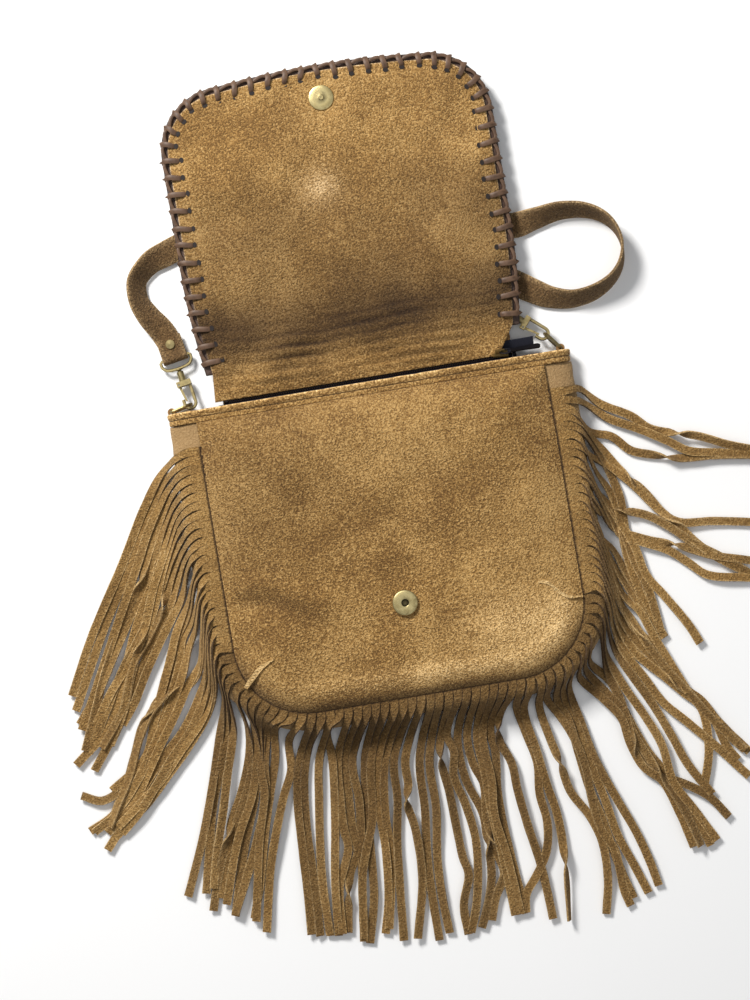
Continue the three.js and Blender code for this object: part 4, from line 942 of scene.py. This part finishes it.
def woven_tape():
    material = new_material("zip_tape")
    tree = material.node_tree
    place = rest_place(tree)
    threads = put(tree, "TexWave", {"Vector": place, "Scale": 1400.0, "Distortion": 0.4}, bands_direction="X")
    rows = put(tree, "TexWave", {"Vector": place, "Scale": 900.0, "Distortion": 0.3}, bands_direction="Y")
    weave = put(tree, "Math", {0: threads.outputs["Fac"], 1: rows.outputs["Fac"]},
                operation="MULTIPLY").outputs[0]
    tone = tint(tree, weave, rgba(18, 19, 30), rgba(52, 54, 74))
    bump = put(tree, "Bump", {"Strength": 0.5, "Distance": 0.0002, "Height": weave})
    finish_with(tree, Base_Color=tone, Roughness=0.85, Normal=bump.outputs[0])
    return material


def zip_tape(name, node, line):
    build = Build()
    rings = []
    for i in range(121):
        x = mix(ZIP_FROM_X - 8, ZIP_TO_X + 17, i / 120)
        curl = 1.5 * smooth(ZIP_TO_X + 6, ZIP_TO_X + 17, x)
        rings.append([Vector((x, y, z + curl)) for y, z in strip_loop(line, TAPE_THICK)])
    build.skin(rings)
    tape = build.piece(name, ZIP_TAPE, "root")
    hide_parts(node)


def zip_teeth(name, node, sign):
    """A row of teeth, each a little hooked block clamped on the tape's corded edge."""
    build = Build()
    across = ACROSS * sign
    cord = [(1.9, -0.5), (2.6, -0.6), (2.8, 0), (2.6, 0.6), (1.9, 0.5)]
    build.skin([[ZIP_CENTRE + Vector((x, 0, 0)) + across * a + OUT * b for a, b in cord]
                for x in (ZIP_FROM_X, -50, 0, 50, ZIP_TO_X)])
    x = ZIP_FROM_X + 0.6 + (TOOTH_PITCH / 2 if sign > 0 else 0)
    while x < ZIP_TO_X - 0.6:
        rings = []
        for inner, half, tall in ((2.7, 0.5, 1.05), (1.6, 0.5, 1.25), (0.9, 0.42, 1.2), (0.62, 0.3, 0.8)):
            centre = ZIP_CENTRE + Vector((x, 0, 0)) + across * inner
            rings.append([centre + Vector((a * half, 0, 0)) + OUT * (b * tall) for a, b in
                          ((-1, -0.8), (1, -0.8), (1, 0.8), (0.6, 1), (-0.6, 1), (-1, 0.8))])
        build.skin(rings)
        x += TOOTH_PITCH
    teeth = build.piece(name, ZIP_METAL, "root")
    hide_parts(node)


def metal(name, bright, tarnish, roughness, rings_at=None, amount=0.5, made_here=False):
    """Plated metal with tarnish that gathers in clouds. rings_at is the centre of a turned face's
    brushing; made_here is for this file's own pieces, which carry their place at rest."""
    material = new_material(name)
    tree = material.node_tree
    place = rest_place(tree) if made_here else put(tree, "TexCoord").outputs["Object"]
    spots = clouds(tree, place, 260.0, 4.0, Roughness=0.65)
    tone = tint(tree, spread(tree, spots, 0.42, 0.68, 0.0, amount), rgba(*bright), rgba(*tarnish))
    tone = tint(tree, mark(tree, "dark"), tone, rgba(30, 26, 18))
    gloss = spread(tree, spots, 0.35, 0.7, roughness, roughness + 0.2)
    height, depth = spots, 0.00012
    if rings_at:
        centre = tuple(rings_at * MM)
        shifted = put(tree, "VectorMath", {0: place, 1: centre}, operation="SUBTRACT").outputs[0]
        level = put(tree, "VectorMath", {0: shifted, 1: (1, 1, 0)}, operation="MULTIPLY").outputs[0]
        radius = put(tree, "VectorMath", {0: level}, operation="LENGTH").outputs["Value"]
        brushing = put(tree, "TexNoise", {"W": radius, "Scale": 9000.0, "Detail": 3.0}, noise_dimensions="1D")
        height, depth = brushing.outputs["Fac"], 0.00004
    bump = put(tree, "Bump", {"Strength": 0.6, "Distance": depth, "Height": height})
    finish_with(tree, Base_Color=tone, Metallic=1.0, Roughness=gloss, Normal=bump.outputs[0])
    return material


def dress(material, *names):
    """Gives CAD nodes that stay in view their finish."""
    for name in names:
        mesh = bag_nodes[name].data
        mesh.materials.clear()
        mesh.materials.append(material)
        mesh.polygons.foreach_set("use_smooth", [True] * len(mesh.polygons))
        mesh.set_sharp_from_angle(angle=math.radians(40))


ZIP_TAPE = woven_tape()
ZIP_METAL = metal("zip_metal", (62, 60, 66), (30, 30, 34), 0.35, made_here=True)
BRASS = metal("antique_brass", (168, 152, 108), (84, 70, 42), 0.3, amount=0.7)
STEEL = metal("plain_steel", (150, 148, 140), (90, 86, 78), 0.32)
CROSS = 3.8
FRONT_EDGE, BACK_EDGE = ZIP_CENTRE - ACROSS * CROSS * 0.84, ZIP_CENTRE + ACROSS * CROSS * 0.84
zip_tape("zip_tape_front_weave", "zip_tape_front", [(104.5, 14), (109.3, 14), (FRONT_EDGE.y, FRONT_EDGE.z)])
zip_tape("zip_tape_back_weave", "zip_tape_back",
         [(BACK_EDGE.y, BACK_EDGE.z), (119, neck_top(119) + 0.5), (125, neck_top(125) + 0.4)])
zip_teeth("zip_teeth_front_row", "zip_teeth_front", -1)
zip_teeth("zip_teeth_back_row", "zip_teeth_back", 1)
dress(ZIP_METAL, "zip_stop_left", "zip_stop_right")
dress(BRASS, "zip_slider")
dress(ZIP_METAL, "zip_puller")


# ------------------------------------------------------------------ snap
# A magnetic snap of antique brass: the socket stands on the front panel with a dark well in its
# middle, the stud with its nub on the flap's inner face. Each is held by a steel washer inside.
def turned(name, node, body, centre, profile, darks):
    build = Build()
    turns = [2 * math.pi * j / SNAP_SIDES for j in range(SNAP_SIDES)]
    rings = [[Vector((centre[0] + radius * math.cos(turn), centre[1] + radius * math.sin(turn), z))
              for turn in turns] for radius, z in profile]
    build.skin(rings, None, darks)
    material = metal(name, (196, 180, 130), (116, 98, 58), 0.32, Vector((*centre, 0)), 0.55, True)
    made = build.piece(name, material, body, sharp=35)
    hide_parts(node)


SNAP_R, SNAP_Y, STUD_Y, SOCKET_TOP, STUD_TOP, SNAP_SIDES = 9, -45, 315, 35.8, 15.2, 72
turned("snap_socket_cap", "snap_socket", "root", (0, SNAP_Y),
       [(0.3, 31), (2.4, 31), (2.4, 33.0), (8.6, 33.2), (SNAP_R, 33.7), (SNAP_R, SOCKET_TOP - 0.8),
        (SNAP_R - 0.25, SOCKET_TOP - 0.3), (SNAP_R - 0.8, SOCKET_TOP), (5, SOCKET_TOP - 0.06),
        (2.9, SOCKET_TOP), (2.6, SOCKET_TOP - 0.15), (2.5, SOCKET_TOP - 0.6), (2.4, 34.0), (0.6, 33.9),
        (0.05, 33.9)],
       [0, 0, 0, 0, 0.2, 0, 0, 0, 0, 0.1, 0.5, 1, 1, 0.75, 0.75])
turned("snap_stud_cap", "snap_stud", "flap", (0, STUD_Y),
       [(0.3, 11.4), (1.8, 11.4), (1.8, 13.3), (8.6, 13.3), (SNAP_R, 13.7), (SNAP_R, STUD_TOP - 0.7),
        (SNAP_R - 0.25, STUD_TOP - 0.25), (SNAP_R - 0.8, STUD_TOP), (5, STUD_TOP - 0.05), (2.4, STUD_TOP),
        (2.0, STUD_TOP + 0.1), (1.9, STUD_TOP + 1.0), (1.5, STUD_TOP + 1.3), (0.7, STUD_TOP + 1.3),
        (0.05, STUD_TOP + 1.25)],
       [0, 0, 0, 0, 0.2, 0, 0, 0, 0, 0.35, 0.3, 0, 0, 0.3, 0.3])
dress(STEEL, "snap_socket_washer", "snap_stud_washer")


# ------------------------------------------------------------------ flap
# The flap is laid open: a dark brown leather outer and a camel suede lining, whose raw edges show
# together all round and are bound by a flat lace. The suede runs on down the neck to the zip, and is
# wrinkled across where the flap turns over.
FLAP_END_Y, FLAP_ROOT_HALF, FLAP_HALF, FLAP_CORNER_R = 339, 112, 118, 45
LINING_TOP, LEATHER_LOW, FLAP_CENTRE = 13.2, 10.0, Vector((0, 228))
NECK_Y, NECK_LEFT, NECK_RIGHT, LINING_INSET = 115.4, 109, 94, 4.6


def flap_edge_points():
    """The flap's outline, from its root's right corner over the free end to the root's left corner."""
    corner = Vector((FLAP_HALF - FLAP_CORNER_R, FLAP_END_Y - 4 - FLAP_CORNER_R))
    right = []
    for i in range(41):
        t = i / 40
        right.append(Vector((FLAP_ROOT_HALF * (1 - t) ** 2 + FLAP_HALF * (2 * t * (1 - t) + t * t),
                             HINGE_Y * (1 - t) ** 2 + (HINGE_Y + 40) * 2 * t * (1 - t)
                             + (HINGE_Y + 75) * t * t)))
    for i in range(1, 31):
        right.append(Vector((FLAP_HALF, mix(HINGE_Y + 75, corner.y, i / 30))))
    for i in range(1, 33):
        turn = math.pi / 2 * i / 32
        right.append(corner + Vector((math.cos(turn), math.sin(turn))) * FLAP_CORNER_R)
    for i in range(1, 31):
        t = i / 30
        low, high = FLAP_END_Y - 4, FLAP_END_Y
        right.append(Vector((corner.x * (1 - t) ** 2 + corner.x / 2 * 2 * t * (1 - t),
                             low * (1 - t) ** 2 + high * (2 * t * (1 - t) + t * t))))
    return right + [Vector((-p.x, p.y)) for p in reversed(right[:-1])]


FLAP_EDGE = flap_edge_points()
EDGE_RUN = [0.0]
for a, b in zip(FLAP_EDGE, FLAP_EDGE[1:]):
    EDGE_RUN.append(EDGE_RUN[-1] + (b - a).length)


def flap_edge(distance, inwards=0.0):
    """The point at a distance along the outline, moved inwards, with the ways along and in."""
    distance = min(max(distance, 0), EDGE_RUN[-1])
    i = 0
    while i < len(EDGE_RUN) - 2 and EDGE_RUN[i + 1] < distance:
        i += 1
    t = (distance - EDGE_RUN[i]) / (EDGE_RUN[i + 1] - EDGE_RUN[i])
    at = FLAP_EDGE[i].lerp(FLAP_EDGE[i + 1], t)
    before, after = FLAP_EDGE[max(i - 1, 0)], FLAP_EDGE[min(i + 2, len(FLAP_EDGE) - 1)]
    along = (after - before).normalized()
    inward = Vector((-along.y, along.x))
    return at + inward * inwards, along, inward


def wrinkle(x, y):
    """The rows of wrinkles across the flap's turn, from -1 to 1, and how strong they are there."""
    turn = smooth(NECK_Y + 1, NECK_Y + 9, y) * smooth(176, 142, y)
    wave = math.sin(y / 1.25 + 2.0 * ripple((x, y), 70, 11) + 1.2 * ripple((x, y * 0.4), 30, 12))
    return wave, turn * (0.5 + 0.5 * ripple((x, y * 2), 38, 13))


def lining_height(x, y, near_edge):
    """The suede's face: down the neck to the zip, wrinkled across at the turn, then nearly flat."""
    z = mix(11.6, LINING_TOP + 0.35, smooth(NECK_Y, HINGE_Y + 8, y))
    wave, turn = wrinkle(x, y)
    z += turn * (1.1 * wave + 1.5 * ripple((x * 0.3, y), 10, 14) + 1.0)
    calm = math.exp(-(x ** 2 + (y - STUD_Y) ** 2) / 14 ** 2)
    slack = 1.9 * ripple((x, y), 50, 15) + 0.8 * ripple((x, y), 21, 16) + 1.2
    return z + (1 - calm) * smooth(0, 14, near_edge) * slack


def flap_outline(inset, left, right, root_y):
    """A closed loop round the flap, inset from its edge, and across its root."""
    loop = [flap_edge(EDGE_RUN[-1] * i / 260, inset)[0] for i in range(261)]
    down = [Vector((mix(loop[-1].x, -left, i / 8), mix(loop[-1].y, root_y, i / 8))) for i in range(1, 9)]
    across = [Vector((mix(-left, right, i / 110), root_y)) for i in range(1, 110)]
    up = [Vector((mix(right, loop[0].x, i / 8), mix(root_y, loop[0].y, i / 8))) for i in range(8)]
    return loop + down + across + up


def flap_lining():
    build = Build()
    loop = flap_outline(LINING_INSET, NECK_LEFT, NECK_RIGHT, NECK_Y)
    rings, edges, darks = [], [], []
    for scale in [0.01, 0.03, *[0.03 + 0.93 * i / 62 for i in range(1, 63)], 0.972, 0.983, 0.992, 0.997, 1.0]:
        ring, edge, dark = [], [], []
        for p in loop:
            at = FLAP_CENTRE.lerp(p, scale)
            inside = (1 - scale) * (p - FLAP_CENTRE).length
            z = lining_height(at.x, at.y, inside)
            if scale > 0.99:
                z -= (scale - 0.99) * 60
            ring.append(Vector((at.x, at.y, z)))
            # pale is a painted highlight on the lining's upper middle; shade is painted shade towards the neck,
            # in a band above the hinge and in the wrinkles' troughs, with a little random tone
            pale = math.exp(-((at.x + 10) ** 2 + (at.y - 252) ** 2) / 13 ** 2)
            edge.append(0.55 if scale > 0.996 and at.y > HINGE_Y - 4 else 0.3 * pale)
            shade = 0.35 * smooth(300, 220, at.y) * smooth(NECK_Y + 6, NECK_Y + 34, at.y)
            shade += 0.5 * math.exp(-((at.y - HINGE_Y - 26) / 24) ** 2)
            wave, turn = wrinkle(at.x, at.y)
            shade += 0.42 * max(turn, 0) * smooth(-0.2, -1, wave)
            shade += 0.1 * ripple((at.x, at.y), 50, 21) + 0.06 * ripple((at.x, at.y), 23, 22)
            dark.append(min(max(shade * (1 - pale), 0), 1))
        rings.append(ring)
        edges.append(edge)
        darks.append(dark)
    # the turned-down edge, with a little painted shade
    for drop in (0.6, 1.15):
        rings.append([Vector((p.x, p.y, min(lining_height(p.x, p.y, 0) - 0.6 - drop, LINING_TOP - drop)))
                      for p in loop])
        edges.append([0.8 if p.y > HINGE_Y - 4 else 0.1 for p in loop])
        darks.append([0.2] * len(loop))
    build.skin(rings, edges, darks, caps=False)
    build.faces.append(tuple(range(len(loop) - 1, -1, -1)))
    lining = build.piece("flap_lining_suede", LINING_SUEDE, None, sharp=70)
    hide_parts("flap_inner")
    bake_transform(lining)


def leather():
    """Smooth pull-up leather: dark brown, rubbed paler in patches, with a fine pebbled grain."""
    material = new_material("flap_leather")
    tree = material.node_tree
    place = rest_place(tree)
    patches = clouds(tree, place, 40.0, 4.0, Distortion=0.6)
    tone = tint(tree, patches, rgba(50, 31, 20), rgba(84, 54, 36))
    tone = tint(tree, mark(tree, "edge"), tone, rgba(48, 32, 24))
    cells = put(tree, "TexVoronoi", {"Vector": place, "Scale": 900.0}, feature="DISTANCE_TO_EDGE")
    grain = spread(tree, cells.outputs["Distance"], 0.0, 0.12)
    bump = put(tree, "Bump", {"Strength": 0.35, "Distance": 0.0002, "Height": grain})
    gloss = spread(tree, patches, 0.0, 1.0, 0.38, 0.6)
    finish_with(tree, Base_Color=tone, Roughness=gloss, Normal=bump.outputs[0])
    return material


def flap_leather():
    build = Build()
    loop = flap_outline(0, FLAP_ROOT_HALF, FLAP_ROOT_HALF, HINGE_Y)
    rings, edges = [], []
    for scale, rise, edge in ((0.02, 0, 0), (0.3, 0, 0), (0.6, 0, 0), (0.85, 0, 0), (0.95, 0, 0),
                              (0.99, 0, 0), (0.998, 0.2, 0.6), (1.002, 0.7, 1), (1.0, 1.3, 1), (0.994, 1.6, 0.5),
                              (0.95, 1.5, 0), (0.6, 1.5, 0), (0.02, 1.5, 0)):
        rings.append([Vector((*FLAP_CENTRE.lerp(p, scale), LEATHER_LOW + rise)) for p in loop])
        edges.append([edge] * len(loop))
    build.skin(rings, edges)
    outer = build.piece("flap_outer_leather", leather(), "flap", sharp=60)
    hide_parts("flap_outer")


def lace_leather():
    """The lace: smooth dark brown leather, rubbed glossy, paler on its raised parts as a painted highlight, with
    painted shade under it and in its holes.
    """
    material = new_material("lace_leather")
    tree = material.node_tree
    patches = clouds(tree, rest_place(tree), 190.0, 4.0, Distortion=0.8)
    tone = tint(tree, spread(tree, patches, 0.35, 0.7), rgba(58, 41, 30), rgba(98, 74, 57))
    tone = tint(tree, mark(tree, "edge"), tone, rgba(112, 86, 66))
    tone = tint(tree, mark(tree, "dark"), tone, rgba(28, 19, 15))
    bump = put(tree, "Bump", {"Strength": 0.5, "Distance": 0.0003, "Height": patches})
    finish_with(tree, Base_Color=tone, Roughness=0.5, Normal=bump.outputs[0], Specular_IOR_Level=0.3)
    return material


LACE_START, LACE_PITCH, LACE_REACH, CROWN_REACH = 7, 12, 13, 9.6
LACE_WIDE, LACE_EDGE_WIDE, LACE_THICK = 3.8, 2.4, 0.9
LACE_COUNT = int((EDGE_RUN[-1] - 2 * LACE_START) // LACE_PITCH)
LACE_STEP = (EDGE_RUN[-1] - 2 * LACE_START) / LACE_COUNT


def lace_leg(build, points, chance, wide=LACE_WIDE):
    """A flat length of lace through these points, thickest in its middle, its sides a little rounded."""
    line = catmull([Vector(p) for p in points], 10)
    half, thick = wide / 2, LACE_THICK / 2
    rings, edges, darks = [], [], []
    bend = chance.uniform(-0.25, 0.25)
    for i, place in enumerate(line):
        before, after = neighbours(line, i)
        along = (after - before).normalized()
        side = along.cross(Vector((0, 0, 1)))
        side = side.normalized() if side.length > 0.2 else Vector((1, 0, 0))
        normal = side.cross(along).normalized()
        t = i / (len(line) - 1)
        w = half * (0.82 + 0.18 * math.sin(math.pi * t))
        section = [(-w, -thick * 0.4), (-w * 0.6, -thick), (w * 0.6, -thick), (w, -thick * 0.4),
                   (w, thick * 0.3), (w * 0.7, thick), (0, thick * (1.1 + bend)), (-w * 0.7, thick),
                   (-w, thick * 0.3)]
        rings.append([place + side * a + normal * b for a, b in section])
        # paler upper sides: painted highlight; darker underside: painted shade
        edges.append([0.2, 0, 0, 0.2, 0.7, 0.4, 0.15, 0.4, 0.7])
        darks.append([0.5, 0.6, 0.6, 0.5, 0.15, 0, 0, 0, 0.15])
    build.skin(rings, edges, darks)


def flap_lacing():
    """Whip stitches: each lies over the suede from its hole to the edge, where it is caught down."""
    build, holes = Build(), Build()
    chance = random.Random("lacing")
    for i in range(LACE_COUNT + 1):
        start = LACE_START + i * LACE_STEP + chance.uniform(-0.5, 0.5)
        crown = smooth(270, 325, flap_edge(start)[0].y)
        reach = mix(LACE_REACH, CROWN_REACH, crown) + chance.uniform(-1.2, 1.0)
        under = [flap_edge(start, depth)[0] for depth in (5, 7, 9, reach)]
        top = max([LINING_TOP + 1.0] + [lining_height(q.x, q.y, 6) + 0.6 for q in under])
        lean = (1.2 if start < EDGE_RUN[-1] / 2 else -1.2) + chance.uniform(-0.8, 0.8)

        def at(along, inwards, z):
            p, _, _ = flap_edge(start + along, inwards)
            return (p.x, p.y, z)

        lace_leg(build, [at(0, reach, top - 1.6), at(0.1, reach - 1.2, top),
                         at(lean * 0.5, reach * 0.55, top + 0.5), at(lean, 3.4, top + 0.3),
                         at(lean + 0.3, 0.6, top - 0.9), at(lean + 0.5, -0.5, top - 2.4),
                         at(lean + 0.7, 1.0, LEATHER_LOW - 0.9)], chance)
        if i < LACE_COUNT:
            lace_leg(build, [at(lean + 0.6, 2.4, top - 1.3), at(lean + 3.0, 1.0, top - 1.0),
                             at(lean + 6.0, 1.2, top - 0.9), at(lean + 9.0, 2.2, top - 0.9),
                             at(lean + 11.4, 3.4, top - 1.3)], chance, LACE_EDGE_WIDE)
            lace_leg(build, [at(lean + 1, 1.0, LEATHER_LOW - 0.8),
                             at(LACE_STEP * 0.6, reach * 0.5, LEATHER_LOW - 0.7),
                             at(LACE_STEP, reach, LEATHER_LOW - 0.7),
                             at(LACE_STEP, reach + 0.2, LEATHER_LOW + 1)], chance)
        # each punched hole: a dark disc of painted shade sunk into the lining
        spot, along, inward = flap_edge(start, reach + 0.6)
        ring = []
        for j in range(12):
            turn = 2 * math.pi * j / 12
            ring.append(spot + along * (2.0 * math.cos(turn)) + inward * (1.5 * math.sin(turn)))
        face = lining_height(spot.x, spot.y, reach)
        holes.skin([[Vector((p.x, p.y, face + 0.12)) for p in ring],
                    [Vector((*spot.lerp(p, 0.3), face - 0.25)) for p in ring]], None, [1.0, 1.0])
    lace = build.piece("flap_lace", LACE, "flap", sharp=55)
    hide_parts("flap_lacing")
    punched = holes.piece("flap_lace_holes", LACE, "flap")


LINING_SUEDE = suede("lining_suede", (152, 115, 63), (110, 79, 39), (190, 153, 97), (204, 172, 126))
LACE = lace_leather()
flap_lining()
flap_leather()
flap_lacing()


# ------------------------------------------------------------------ D-rings, tabs and clasps
# A suede tab at each end of the mouth holds a brass D-ring. A lever clasp hooks on it: a bent wire
# hook with a sprung gate, turning on a swivel, and a flat-sided eye for the strap.
dress(suede("tab_suede", (142, 106, 64), (112, 82, 46), (170, 132, 86), (176, 146, 104)),
      "d_ring_tab_left", "d_ring_tab_right")
for side in ("left", "right"):
    dress(BRASS, f"d_ring_{side}", f"clasp_eye_{side}", f"clasp_hook_{side}", f"clasp_gate_{side}",
          f"strap_rivet_{side}")
    dress(STEEL, f"clasp_gate_pin_{side}", f"clasp_spring_{side}")
